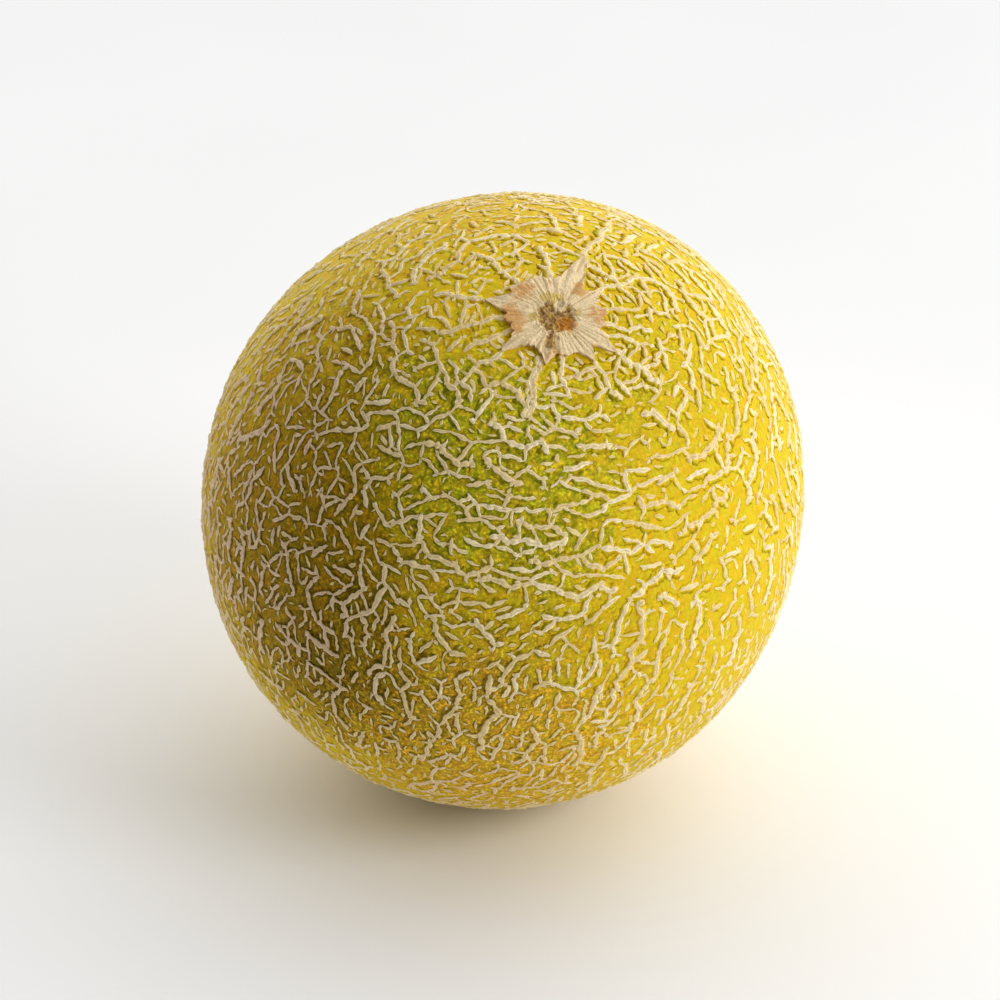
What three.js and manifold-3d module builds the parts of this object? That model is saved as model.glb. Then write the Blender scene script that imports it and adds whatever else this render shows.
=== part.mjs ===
// A whole netted melon: a nearly round fruit with a raised corky net, the star-shaped scar of its stalk,
// the small round scar of the flower opposite, and a small flat resting spot. Millimetres, +Z up.
// Origin at the middle of the resting spot. The face with the stalk scar looks up and to -Y.
import * as THREE from "three";
import { ConvexHull } from "three/addons/math/ConvexHull.js";
import { mergeVertices } from "three/addons/utils/BufferGeometryUtils.js";
import Module from "manifold-3d";

// Driving dimensions.
// Mean radius of the skin. It sets the size of the whole fruit.
const BODY_RADIUS = 72.5;
// Slow waves of the outline about the viewing line: waves round, depth as a share of the radius,
// and phase in degrees.
const OUTLINE_WAVES = [
  [2, 0.0192, 63],
  [3, 0.0054, 49],
  [4, 0.0034, -44],
];
// The viewing line is level with -Y and lifted by this angle.
const VIEW_LIFT = 30;
// The stalk's direction: to the right, up, and toward the viewer.
const STALK = [0.157, 0.559, 0.814];
// The shallow basin round the stalk scar.
const BASIN_DEPTH = 0.9;
const BASIN_RADIUS = 17;

// The point that all radii are measured from. Its height leaves a resting spot about 26 across.
const BODY_CENTRE = [0.3, 0.15, 71.9];

// Stalk scar: a thin star-shaped plate with a sunken middle. The plate thins toward the tips of its arms.
const SCAR_RIM = 9.9;
const SCAR_PLATE = 1.1;
const SCAR_TIP_PLATE = 0.55;
const SCAR_LONG_ARM = 6;
const SCAR_ARM_TAPER = 1.9;
// The plate reaches out farther to one side: how much, and to which azimuth in degrees.
const SCAR_SWELL = 1.9;
const SWELL_AZIMUTH = 134;
// The plate's edge: spacing of its points, and how far its top and foot lie inside and outside the line.
const RIM_STEP = 1.15;
const RIM_INSET = 0.4;
const RIM_FOOT = 0.35;
const CRATER_RADIUS = 4.9;
const CRATER_FLOOR = 3.1;
const CRATER_BOTTOM = 0.3;
// Arms of the star: azimuth in degrees, reach of the tip, half width in degrees.
const SCAR_ARMS = [
  [8, 12.2, 20],
  [33, 13.6, 15],
  [64, 21.6, 21],
  [106, 12.2, 12],
  [134, 12.7, 10],
  [158, 16.6, 16],
  [180, 11.6, 9],
  [213, 15.4, 16],
  [254, 13.0, 15],
  [281, 10.9, 10],
  [304, 13.8, 14],
  [327, 16.0, 16],
  [351, 11.4, 14],
];

// Flower scar: a low ring with a dished middle.
const FLOWER_RADIUS = 6.2;
const FLOWER_RING = 0.5;
const FLOWER_DISH = 0.5;

// Net strands.
const NET_SEED = 11;
const NET_STEP = 0.7;
const NET_HASH_CELL = 3;
const STRAND_HEIGHT = 0.75;
const STRAND_TIP_HEIGHT = 0.1;
// Shares of the width between bends, and of the width and height at a bend.
const FULL_SHARE = 1.05;
const BEND_SHARE = 0.85;
const STRAND_WIDTH = [1.4, 1.95];
const STRAND_REACH = [3, 10];
const STRAND_PIECE = [1.5, 3.6];
const STRAND_BEND = [14, 52];
const ZIGZAG = 0.75;
const STRAND_OWN_WAY = 0.5;
const STRAND_ACROSS = 0.2;
const STRAND_SPREAD = 40;
const STRAND_SPACING = 5.4;
const STRAND_SPACING_SWING = 1.8;
const SPACING_WAVES = 4.5;
const STRAND_JOIN = 1.6;
const STRAND_TOTAL = 5500;
// How far the strands keep from the star's edge and from the middle of the flower scar.
const STALK_GAP = 0.7;
const FLOWER_GAP = 7.2;
// Strands that leave the scar: azimuth in degrees, reach, width.
const SPOKES = [
  [14, 10, 1.5],
  [37, 14, 1.7],
  [65, 22, 1.9],
  [89, 12, 1.9],
  [124, 13, 1.6],
  [158, 12, 1.8],
  [176, 16, 1.9],
  [196, 12, 1.7],
  [213, 10, 1.6],
  [248, 16, 2.6],
  [272, 8, 1.5],
  [304, 11, 1.6],
  [328, 13, 1.8],
  [341, 10, 1.5],
  [354, 12, 1.5],
];

// The grain that the strands follow, in degrees: the angle from the stalk where its turn starts and ends, how
// far it turns, the azimuth that parts the two ways of turning, how much later the turn ends there and how
// wide that side is, and how far the grain sways.
const TURN_START = 44;
const TURN_END = 60;
const TURN_FULL = 78;
const TURN_PARTING = 250;
const TURN_LATER = 24;
const TURN_LATER_HALF = 28;
const GRAIN_SWAY = 10;
const GRAIN_WAVES = 6;
// On one side the strands are short and run every way: its middle, how far it reaches, where the change is
// full, how much shorter the strands are, how much wider their directions spread, and how much more they keep
// to their own way.
const MIXED_AT = [-0.71, -0.32, 0.62];
const MIXED_REACH = 36;
const MIXED_FULL = 12;
const MIXED_SHORTER = 0.5;
const MIXED_SPREAD = 110;
const MIXED_OWN_WAY = 0.5;

// Spacing of the mesh.
const SECTION_GAP = 4.4;
const POINT_GAP = 0.45;
const FILL_GAP = 5.6;
const FILL_TRIES = 26000;

const RAD = Math.PI / 180;

// Small vector helpers.
const dot = (a, b) => a[0] * b[0] + a[1] * b[1] + a[2] * b[2];
const cross = (a, b) => [
  a[1] * b[2] - a[2] * b[1],
  a[2] * b[0] - a[0] * b[2],
  a[0] * b[1] - a[1] * b[0],
];
const mix = (a, x, b, y) => [a[0] * x + b[0] * y, a[1] * x + b[1] * y, a[2] * x + b[2] * y];

function unit(a) {
  const s = 1 / Math.sqrt(dot(a, a));
  return [a[0] * s, a[1] * s, a[2] * s];
}

function smooth(lo, hi, x) {
  const t = Math.min(1, Math.max(0, (x - lo) / (hi - lo)));
  return t * t * (3 - 2 * t);
}

// Turns the tangent t at p by an angle about p.
const rotate = (t, p, angle) => mix(t, Math.cos(angle), cross(p, t), Math.sin(angle));

// A repeatable stream of numbers from 0 to 1.
function stream(seed) {
  let state = seed >>> 0;
  return () => {
    state = (state + 0x6d2b79f5) >>> 0;
    let t = Math.imul(state ^ (state >>> 15), state | 1);
    t = (t + Math.imul(t ^ (t >>> 7), t | 61)) ^ t;
    return ((t ^ (t >>> 14)) >>> 0) / 4294967296;
  };
}

function spot(rnd) {
  const z = 2 * rnd() - 1;
  const a = 2 * Math.PI * rnd();
  const q = Math.sqrt(1 - z * z);
  return [q * Math.cos(a), q * Math.sin(a), z];
}

// Frames.
// Directions on the fruit are worked out in the stalk frame: +Z along the stalk, +X to the right.
const STALK_AXIS = unit(STALK);
const STALK_RIGHT = unit(cross([0, 1, 0], STALK_AXIS));
const STALK_UP = cross(STALK_AXIS, STALK_RIGHT);

// Stalk frame to (right, up, toward the viewer).
const toView = (p) => [
  p[0] * STALK_RIGHT[0] + p[1] * STALK_UP[0] + p[2] * STALK_AXIS[0],
  p[0] * STALK_RIGHT[1] + p[1] * STALK_UP[1] + p[2] * STALK_AXIS[1],
  p[0] * STALK_RIGHT[2] + p[1] * STALK_UP[2] + p[2] * STALK_AXIS[2],
];

// (right, up, toward the viewer) to the fruit's own frame, with the viewer at -Y and lifted.
function toWorld(v) {
  const c = Math.cos(VIEW_LIFT * RAD);
  const s = Math.sin(VIEW_LIFT * RAD);
  return [v[0], v[1] * s - v[2] * c, v[1] * c + v[2] * s];
}

// Slow waves over the fruit.
const WAVES = [];
{
  const rnd = stream(NET_SEED + 1);
  for (let k = 0; k < 20; k++) {
    const d = spot(rnd);
    WAVES.push([d, 2 * Math.PI * rnd()]);
  }
}

function drift(p, which, scale) {
  let s = 0;
  for (let k = 0; k < 5; k++) {
    const [d, phase] = WAVES[which * 5 + k];
    s += Math.sin(scale * dot(p, d) + phase);
  }
  return s / 2.6;
}

// Radius of the skin, before the scars and the net.
function skinRadius(p) {
  const v = toView(p);
  const across = Math.hypot(v[0], v[1]);
  const angle = Math.atan2(v[1], v[0]);
  let r = 1;
  for (const [waves, depth, phase] of OUTLINE_WAVES) {
    r += depth * Math.pow(across, waves) * Math.cos(waves * (angle - phase * RAD));
  }
  return BODY_RADIUS * r - BASIN_DEPTH * Math.exp(-Math.pow(fromStalk(p) / BASIN_RADIUS, 2));
}

// Scars.
// Outline of the star-shaped plate: its radius in a direction round the stalk.
function starRadius(azimuth) {
  const toSwell = (1 + Math.cos((azimuth - SWELL_AZIMUTH) * RAD)) / 2;
  const rim = SCAR_RIM + SCAR_SWELL * Math.pow(toSwell, 4);
  let r = rim;
  for (const [at, tip, half] of SCAR_ARMS) {
    const off = Math.abs(((azimuth - at + 900) % 360) - 180) / half;
    if (off < 1) {
      r = Math.max(r, rim + (tip - rim) * Math.pow(1 - off, SCAR_ARM_TAPER));
    }
  }
  return r;
}

// Height of the plate's top over the skin, at a distance from the middle, where the star's edge is at edge.
function plateTop(radius, edge) {
  const bowl = smooth(CRATER_FLOOR, CRATER_RADIUS, radius);
  const arm = Math.min(1, (edge - SCAR_RIM) / SCAR_LONG_ARM);
  const thinning = (SCAR_PLATE - SCAR_TIP_PLATE) * arm * smooth(SCAR_RIM - 1, edge, radius);
  return (SCAR_PLATE - thinning) * bowl + CRATER_BOTTOM * (1 - bowl);
}

function fromStalk(p) {
  return Math.acos(Math.min(1, Math.max(-1, p[2]))) * BODY_RADIUS;
}

// Whether a direction lies on either scar, or nearer to it than a strand may grow.
function onScar(p, stalkGap) {
  const far = fromStalk(p);
  if (far > Math.PI * BODY_RADIUS - FLOWER_GAP) {
    return true;
  }
  return far < starRadius(Math.atan2(p[1], p[0]) / RAD) + stalkGap;
}

// The net.
// The way most strands run at p: round the stalk near it, and nearly from stalk to flower farther down. The
// grain turns there one way on one half and the other way on the other.
function grain(p) {
  const theta = Math.acos(Math.max(-1, Math.min(1, p[2]))) / RAD;
  const down = unit(mix(p, p[2], [0, 0, 1], -1));
  const around = cross(p, down);
  const parted = ((Math.atan2(p[1], p[0]) / RAD - TURN_PARTING + 900) % 360) - 180;
  const later = TURN_LATER * Math.max(0, 1 - Math.abs(parted) / TURN_LATER_HALF);
  const turned = TURN_FULL * smooth(TURN_START, TURN_END + later, theta);
  const turn = RAD * ((parted > 0 ? -turned : turned) + GRAIN_SWAY * drift(p, 0, GRAIN_WAVES));
  return mix(around, Math.cos(turn), down, Math.sin(turn));
}

// How much p lies where the strands are short and run every way, from 0 to 1.
function mixed(p) {
  return smooth(Math.cos(MIXED_REACH / BODY_RADIUS), Math.cos(MIXED_FULL / BODY_RADIUS), dot(p, MIXED_AT));
}

class Net {
  constructor() {
    this.cell = NET_HASH_CELL / BODY_RADIUS;
    this.grid = new Map();
    this.lines = [];
  }

  key(i, j, k) {
    return (i + 512) * 1048576 + (j + 512) * 1024 + (k + 512);
  }

  add(p) {
    const c = this.cell;
    const key = this.key(Math.floor(p[0] / c), Math.floor(p[1] / c), Math.floor(p[2] / c));
    if (!this.grid.has(key)) {
      this.grid.set(key, []);
    }
    this.grid.get(key).push(p);
  }

  // The nearest laid point within reach (mm): [distance, point], or null.
  nearest(p, reach) {
    const c = this.cell;
    const n = Math.ceil(reach / NET_HASH_CELL);
    const at = [Math.floor(p[0] / c), Math.floor(p[1] / c), Math.floor(p[2] / c)];
    let best = Math.pow(reach / BODY_RADIUS, 2);
    let found = null;
    for (let i = at[0] - n; i <= at[0] + n; i++) {
      for (let j = at[1] - n; j <= at[1] + n; j++) {
        for (let k = at[2] - n; k <= at[2] + n; k++) {
          for (const q of this.grid.get(this.key(i, j, k)) || []) {
            const d = Math.pow(q[0] - p[0], 2) + Math.pow(q[1] - p[1], 2) + Math.pow(q[2] - p[2], 2);
            if (d < best) {
              best = d;
              found = q;
            }
          }
        }
      }
    }
    return found === null ? null : [Math.sqrt(best) * BODY_RADIUS, found];
  }
}

// Walks one way from a point in short straight pieces. Gives the points, where it bends,
// and whether it met a strand.
function grow(net, rnd, from, heading, reach, rule) {
  const points = [];
  const bends = [];
  let p = from;
  let t = heading;
  let base = heading;
  let side = rnd() < 0.5 ? 1 : -1;
  let run = between(rule.piece, rnd());
  const s = NET_STEP / BODY_RADIUS;
  for (let going = 0; going < reach; going += NET_STEP) {
    if (run <= 0) {
      let g = grain(p);
      if (dot(g, t) < 0) {
        g = [-g[0], -g[1], -g[2]];
      }
      const own = rule.own + (1 - rule.own) * MIXED_OWN_WAY * mixed(p);
      base = unit(mix(g, 1 - own, base, own));
      base = unit(mix(base, 1, p, -dot(base, p)));
      t = rotate(base, p, side * RAD * between(rule.bend, rnd()));
      side = rnd() < ZIGZAG ? -side : side;
      run = between(rule.piece, rnd());
      if (bends.length) {
        bends[bends.length - 1] = true;
      }
    }
    const q = mix(p, Math.cos(s), t, Math.sin(s));
    t = mix(t, Math.cos(s), p, -Math.sin(s));
    p = unit(q);
    run -= NET_STEP;
    if (onScar(p, rule.stalkGap)) {
      break;
    }
    const hit = net.nearest(p, rule.join);
    if (hit && going > 0.3) {
      points.push(hit[1]);
      bends.push(false);
      return { points, bends, met: true };
    }
    points.push(p);
    bends.push(false);
  }
  return { points, bends, met: false };
}

function lay(net, points, bends, width, joined) {
  net.lines.push({ points, bends, width, joined });
  for (const p of points) {
    net.add(p);
  }
}

function between(range, share) {
  return range[0] + (range[1] - range[0]) * share;
}

// A direction on the fruit, from its azimuth round the stalk and its distance from it along the skin.
function byStalk(azimuth, distance) {
  const th = distance / BODY_RADIUS;
  const a = azimuth * RAD;
  return [Math.sin(th) * Math.cos(a), Math.sin(th) * Math.sin(a), Math.cos(th)];
}

function laySpokes(net, rnd) {
  const rule = { join: 1.2, piece: [2, 4], bend: [5, 24], own: 0.95, stalkGap: -2 };
  for (const [azimuth, reach, width] of SPOKES) {
    const p = byStalk(azimuth, starRadius(azimuth) - 0.4);
    const down = unit(mix(p, p[2], [0, 0, 1], -1));
    const end = grow(net, rnd, p, down, reach, rule);
    lay(net, [p, ...end.points], [false, ...end.bends], width, [true, end.met]);
  }
}

// The strands, each grown both ways from a free place until it ends or meets another.
function growNet() {
  const net = new Net();
  const rnd = stream(NET_SEED);
  laySpokes(net, rnd);
  const rule = {
    join: STRAND_JOIN,
    piece: STRAND_PIECE,
    bend: STRAND_BEND,
    own: STRAND_OWN_WAY,
    stalkGap: STALK_GAP,
  };
  let total = 0;
  while (total < STRAND_TOTAL) {
    const p = spot(rnd);
    const spacing = STRAND_SPACING + STRAND_SPACING_SWING * drift(p, 1, SPACING_WAVES);
    if (onScar(p, 2 * STALK_GAP) || net.nearest(p, spacing)) {
      continue;
    }
    const across = rnd() < STRAND_ACROSS;
    const here = mixed(p);
    const spread = STRAND_SPREAD + MIXED_SPREAD * here;
    const aim = rotate(grain(p), p, RAD * ((across ? 90 : 0) + spread * (rnd() - 0.5)));
    const reach = (across ? 0.5 : 1) * between(STRAND_REACH, rnd()) * (1 - MIXED_SHORTER * here);
    const ahead = grow(net, rnd, p, aim, reach, rule);
    const behind = grow(net, rnd, p, mix(aim, -1, p, 0), reach, rule);
    const points = [...behind.points.slice().reverse(), p, ...ahead.points];
    const bends = [...behind.bends.slice().reverse(), false, ...ahead.bends];
    const width = between(STRAND_WIDTH, rnd());
    if (points.length > 3) {
      lay(net, points, bends, width, [behind.met, ahead.met]);
      total += NET_STEP * (points.length - 1);
    }
  }
  return net;
}

// Surface points.
// Directions and radii of the mesh, none closer to another than the point gap.
class Surface {
  constructor() {
    this.net = new Net();
    this.points = [];
  }

  put(p, radius, gap = POINT_GAP) {
    if (this.net.nearest(p, gap)) {
      return false;
    }
    this.net.add(p);
    this.points.push([p, radius]);
    return true;
  }
}

// A direction near the stalk, from two distances along the skin.
const nearStalk = (x, y) => byStalk(Math.atan2(y, x) / RAD, Math.hypot(x, y));

// Points along the star's edge a step apart, each with the way out of the star.
function starEdge(step) {
  const edge = [];
  for (let k = 0; k < 1440; k++) {
    const azimuth = k / 4;
    const r = starRadius(azimuth);
    edge.push([r * Math.cos(azimuth * RAD), r * Math.sin(azimuth * RAD)]);
  }
  const out = [];
  let walked = step;
  for (let k = 0; k < edge.length; k++) {
    const a = edge[k];
    const b = edge[(k + 1) % edge.length];
    const length = Math.hypot(b[0] - a[0], b[1] - a[1]);
    walked += length;
    if (walked >= step && length > 0) {
      walked -= step;
      out.push({ at: a, out: [(b[1] - a[1]) / length, (a[0] - b[0]) / length] });
    }
  }
  return out;
}

// The stalk scar: rings from the middle out to the skin just past the star's edge.
function putStalkScar(surface) {
  const lift = (p, radius, edge) => skinRadius(p) + plateTop(radius, edge);
  surface.put([0, 0, 1], lift([0, 0, 1], 0, SCAR_RIM));
  const rings = [
    [7, 1.5],
    [12, 2.9],
    [16, 3.9],
    [20, CRATER_RADIUS],
    [26, 6.6],
  ];
  for (const [count, radius] of rings) {
    for (let k = 0; k < count; k++) {
      const azimuth = ((k + 0.5 * (count % 2)) * 360) / count;
      const p = byStalk(azimuth, radius);
      surface.put(p, lift(p, radius, starRadius(azimuth)));
    }
  }
  for (const { at, out } of starEdge(RIM_STEP)) {
    const top = nearStalk(at[0] - RIM_INSET * out[0], at[1] - RIM_INSET * out[1]);
    const foot = nearStalk(at[0] + RIM_FOOT * out[0], at[1] + RIM_FOOT * out[1]);
    const inner = Math.hypot(at[0], at[1]);
    surface.put(top, lift(top, inner, inner));
    surface.put(foot, skinRadius(foot));
  }
  for (const [azimuth, tip] of SCAR_ARMS) {
    for (let radius = 8.6; radius < tip - 1.5; radius += 2.4) {
      const p = byStalk(azimuth, radius);
      surface.put(p, lift(p, radius, tip), 1);
    }
  }
}

// The flower scar: a dished middle, a low ring, and the skin round it.
function putFlowerScar(surface) {
  const rings = [
    [1, 0, -FLOWER_DISH],
    [8, 2.0, -FLOWER_DISH],
    [14, 4.0, 0.1],
    [22, FLOWER_RADIUS - 1.0, FLOWER_RING],
    [24, FLOWER_RADIUS, FLOWER_RING * 0.6],
    [26, FLOWER_RADIUS + 0.8, 0],
  ];
  for (const [count, radius, height] of rings) {
    for (let k = 0; k < count; k++) {
      const q = byStalk(((k + 0.5 * (count % 2)) * 360) / count, radius);
      const p = [q[0], q[1], -q[2]];
      surface.put(p, skinRadius(p) + height);
    }
  }
}

// A strand's cross sections: at its ends, at its bends, and between them where they are far apart.
function sectionsOf(line) {
  const last = line.points.length - 1;
  const marks = [0];
  for (let i = 1; i < last; i++) {
    if (line.bends[i]) {
      marks.push(i);
    }
  }
  marks.push(last);
  const out = [];
  for (let m = 0; m + 1 < marks.length; m++) {
    const pieces = Math.max(1, Math.round(((marks[m + 1] - marks[m]) * NET_STEP) / SECTION_GAP));
    for (let k = 0; k < pieces; k++) {
      out.push(Math.round(marks[m] + ((marks[m + 1] - marks[m]) * k) / pieces));
    }
  }
  out.push(last);
  return out.filter((v, i) => i === 0 || v !== out[i - 1]);
}

function putStrand(surface, line) {
  const last = line.points.length - 1;
  for (const i of sectionsOf(line)) {
    const p = line.points[i];
    if ((i === 0 && line.joined[0]) || (i === last && line.joined[1])) {
      continue;
    }
    const free = (i === 0 && !line.joined[0]) || (i === last && !line.joined[1]);
    if (free) {
      surface.put(p, skinRadius(p) + STRAND_TIP_HEIGHT);
      continue;
    }
    const along = mix(line.points[Math.min(last, i + 1)], 1, line.points[Math.max(0, i - 1)], -1);
    const sideways = unit(cross(p, along));
    const half = ((line.width / 2) * (line.bends[i] ? BEND_SHARE : FULL_SHARE)) / BODY_RADIUS;
    if (!surface.put(p, skinRadius(p) + STRAND_HEIGHT * (line.bends[i] ? BEND_SHARE : 1))) {
      continue;
    }
    for (const way of [-1, 1]) {
      const foot = unit(mix(p, 1, sideways, way * half));
      surface.put(foot, skinRadius(foot));
    }
  }
}

function surfacePoints() {
  const surface = new Surface();
  putStalkScar(surface);
  putFlowerScar(surface);
  const net = growNet();
  for (const line of net.lines) {
    putStrand(surface, line);
  }
  const rnd = stream(NET_SEED + 2);
  for (let k = 0; k < FILL_TRIES; k++) {
    const p = spot(rnd);
    surface.put(p, skinRadius(p), FILL_GAP);
  }
  return surface.points;
}

// Solid.
// The points joined over the sphere, so that no other point lies inside a face's circle,
// and then moved out to their own radii.
function reliefGeometry(points) {
  const radii = new Map();
  const corners = points.map(([p, radius]) => {
    const corner = new THREE.Vector3(p[0], p[1], p[2]);
    radii.set(corner, radius);
    return corner;
  });
  const positions = [];
  for (const face of new ConvexHull().setFromPoints(corners).faces) {
    let edge = face.edge;
    do {
      const corner = edge.head().point;
      const world = toWorld(toView([corner.x, corner.y, corner.z]));
      for (let k = 0; k < 3; k++) {
        positions.push(BODY_CENTRE[k] + radii.get(corner) * world[k]);
      }
      edge = edge.next;
    } while (edge !== face.edge);
  }
  const geometry = new THREE.BufferGeometry();
  geometry.setAttribute("position", new THREE.Float32BufferAttribute(positions, 3));
  return mergeVertices(geometry, 1e-4);
}

// What lies below the surface that the fruit rests on.
function belowGround() {
  const slab = new THREE.BoxGeometry(4 * BODY_RADIUS, 4 * BODY_RADIUS, BODY_RADIUS);
  slab.translate(0, 0, -BODY_RADIUS / 2);
  slab.deleteAttribute("normal");
  slab.deleteAttribute("uv");
  return mergeVertices(slab);
}

function solidOf(wasm, geometry) {
  const mesh = new wasm.Mesh({
    numProp: 3,
    vertProperties: Float32Array.from(geometry.attributes.position.array),
    triVerts: Uint32Array.from(geometry.index.array),
  });
  return new wasm.Manifold(mesh);
}

function geometryOf(solid) {
  const data = solid.getMesh();
  const geometry = new THREE.BufferGeometry();
  geometry.setAttribute("position", new THREE.BufferAttribute(data.vertProperties, 3));
  geometry.setIndex(new THREE.BufferAttribute(data.triVerts, 1));
  geometry.computeVertexNormals();
  return geometry;
}

const wasm = await Module();
wasm.setup();

const rind = new THREE.MeshStandardMaterial({ name: "rind", color: 0xc2a62c, roughness: 0.6 });
const body = solidOf(wasm, reliefGeometry(surfacePoints())).subtract(solidOf(wasm, belowGround()));
const melon = new THREE.Mesh(geometryOf(body), rind);
melon.name = "melon";

const wholeMelon = new THREE.Group();
wholeMelon.add(melon);

export default wholeMelon;
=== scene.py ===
"""A whole netted melon on a pale floor: its golden skin, the raised cork net that grows over the skin,
the star-shaped scar of the stalk and the round scar of the flower.

Sizes are millimetres, and a mesh is turned into metres as it is made. Directions on the fruit are in the
stalk frame: +Z along the stalk and +X to the viewer's right.
"""
import math

import bpy
import numpy as np
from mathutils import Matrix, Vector


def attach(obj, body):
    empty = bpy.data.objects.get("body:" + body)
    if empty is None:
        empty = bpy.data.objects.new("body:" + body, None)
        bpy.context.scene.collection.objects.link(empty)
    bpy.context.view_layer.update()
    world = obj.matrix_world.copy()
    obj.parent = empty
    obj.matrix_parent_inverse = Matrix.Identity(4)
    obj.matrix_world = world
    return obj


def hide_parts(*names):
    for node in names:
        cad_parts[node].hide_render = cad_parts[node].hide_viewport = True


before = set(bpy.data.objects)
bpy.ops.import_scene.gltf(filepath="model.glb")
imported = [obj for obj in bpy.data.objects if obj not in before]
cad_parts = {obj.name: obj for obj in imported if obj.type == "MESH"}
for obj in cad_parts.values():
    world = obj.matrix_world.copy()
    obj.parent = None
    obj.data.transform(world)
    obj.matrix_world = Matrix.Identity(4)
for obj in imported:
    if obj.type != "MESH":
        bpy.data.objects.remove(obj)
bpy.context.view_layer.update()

MM = 0.001
RAD = math.pi / 180

# Body, with the same sizes as its solid.
BODY_RADIUS = 72.5
OUTLINE_WAVES = [
    (2, 0.0192, 63),
    (3, 0.0054, 49),
    (4, 0.0034, -44),
]
VIEW_LIFT = 30
STALK = (0.157, 0.559, 0.814)
BASIN_DEPTH = 0.9
BASIN_RADIUS = 17
BODY_CENTRE = (0.3, 0.15, 71.9)
SKIN_FACES = 128

# Stalk scar, with the same outline as its solid.
SCAR_RIM = 9.9
SCAR_PLATE = 1.1
SCAR_TIP_PLATE = 0.55
SCAR_LONG_ARM = 6
SCAR_ARM_TAPER = 1.9
# The plate reaches out farther to one side: how much, and to which azimuth in degrees.
SCAR_SWELL = 1.9
SWELL_AZIMUTH = 134
CRATER_RADIUS = 4.9
CRATER_FLOOR = 3.1
CRATER_BOTTOM = 0.3
# Arms of the star: azimuth in degrees, reach of the tip, half width in degrees.
SCAR_ARMS = [
    (8, 12.2, 20),
    (33, 13.6, 15),
    (64, 21.6, 21),
    (106, 12.2, 12),
    (134, 12.7, 10),
    (158, 16.6, 16),
    (180, 11.6, 9),
    (213, 15.4, 16),
    (254, 13.0, 15),
    (281, 10.9, 10),
    (304, 13.8, 14),
    (327, 16.0, 16),
    (351, 11.4, 14),
]
SCAR_REACH = 24.5
# The skin sinks out of sight under the plate, between these distances from the middle.
SCAR_SINK = 2.6
SCAR_SINK_FROM = 7.2
SCAR_SINK_TO = 9.0
# The plate's edge: how far it hangs over its foot, and how deep the foot goes into the skin.
SCAR_OVERHANG = 0.35
SCAR_FOOT = 0.5
SCAR_RAGGED = 0.22
SCAR_COLUMNS = 720
SCAR_ROWS = 60
SCAR_SEED = 31
# Brown patches of the plate's rim: azimuth and half width in degrees, and strength.
SCAR_PATCHES = [
    (183, 26, 1.0),
    (131, 20, 0.75),
    (50, 12, 0.8),
    (2, 20, 0.7),
    (262, 16, 0.5),
    (232, 10, 0.4),
    (84, 14, 0.35),
]
# Greenish bits round the crater, in the same way.
SCAR_GREEN_SIDES = [
    (180, 30, 1.1),
    (95, 44, 1.8),
    (8, 28, 0.9),
    (300, 20, 0.7),
]
# Brown torn cork reaches from the crater toward this side, in degrees.
TORN_AZIMUTH = 256
TORN_HALF = 26
# A pale flake of cork lies in the crater.
FLAKE_AT = (1.2, 2.9)
FLAKE_SIZE = 1.7
FLAKE_RISE = 0.3
# A rusty spot beside it.
RUST_AT = (2.2, -1.9)
RUST_SIZE = 2.9
# Depths of the plate's folds and fibres, of the pit's lumps and grit, and of the grit all over.
FOLD_DEPTH = 0.07
FIBRE_DEPTH = 0.035
LUMP_DEPTH = 0.14
PIT_GRIT_DEPTH = 0.04
GRIT_DEPTH = 0.03
LUMP_SIZE = 1.5
GRIT_SIZE = 0.6
# How far the scar's root goes below the sunken skin.
SCAR_ROOT = 0.6
# The lip of the plate turns up most on this side.
LIP_AZIMUTH = 182
LIP_HALF = 75
LIP_LEAST = 0.35
LIP_RISE = 0.35

# Flower scar.
FLOWER_RADIUS = 6.2
FLOWER_RING = 0.5
FLOWER_DISH = 0.5
FLOWER_ROOT = 3.0
FLOWER_COLUMNS = 240
FLOWER_ROWS = 36

# Net strands that are in the solid too.
NET_SEED = 11
NET_STEP = 0.7
NET_HASH_CELL = 3
STRAND_WIDTH = (1.4, 1.95)
STRAND_REACH = (3, 10)
STRAND_PIECE = (1.5, 3.6)
STRAND_BEND = (14, 52)
ZIGZAG = 0.75
STRAND_OWN_WAY = 0.5
STRAND_ACROSS = 0.2
STRAND_ACROSS_REACH = 0.5
STRAND_SPREAD = 40
STRAND_SPACING = 5.4
STRAND_SPACING_SWING = 1.8
SPACING_WAVES = 4.5
STRAND_JOIN = 1.6
STRAND_TOTAL = 5500
# A strand can't meet another one before it is this long.
MEETS_AFTER = 0.3
STALK_GAP = 0.7
FLOWER_GAP = 7.2
# Strands that leave the stalk scar: azimuth in degrees, reach, width.
SPOKES = [
    (14, 10, 1.5),
    (37, 14, 1.7),
    (65, 22, 1.9),
    (89, 12, 1.9),
    (124, 13, 1.6),
    (158, 12, 1.8),
    (176, 16, 1.9),
    (196, 12, 1.7),
    (213, 10, 1.6),
    (248, 16, 2.6),
    (272, 8, 1.5),
    (304, 11, 1.6),
    (328, 13, 1.8),
    (341, 10, 1.5),
    (354, 12, 1.5),
]
# How they grow, and how far inside the plate's outline they start.
SPOKE = {"join": 1.2, "piece": (2, 4), "bend": (5, 24), "own": 0.95, "stalk_gap": -2}
SPOKE_ROOT = 0.4
# The grain that the strands follow, in degrees: the angle from the stalk where its turn starts and ends, how
# far it turns, the azimuth that parts the two ways of turning, how much later the turn ends there and how
# wide that side is, and how far the grain sways.
TURN_START = 44
TURN_END = 60
TURN_FULL = 78
TURN_PARTING = 250
TURN_LATER = 24
TURN_LATER_HALF = 28
GRAIN_SWAY = 10
GRAIN_WAVES = 6
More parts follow.
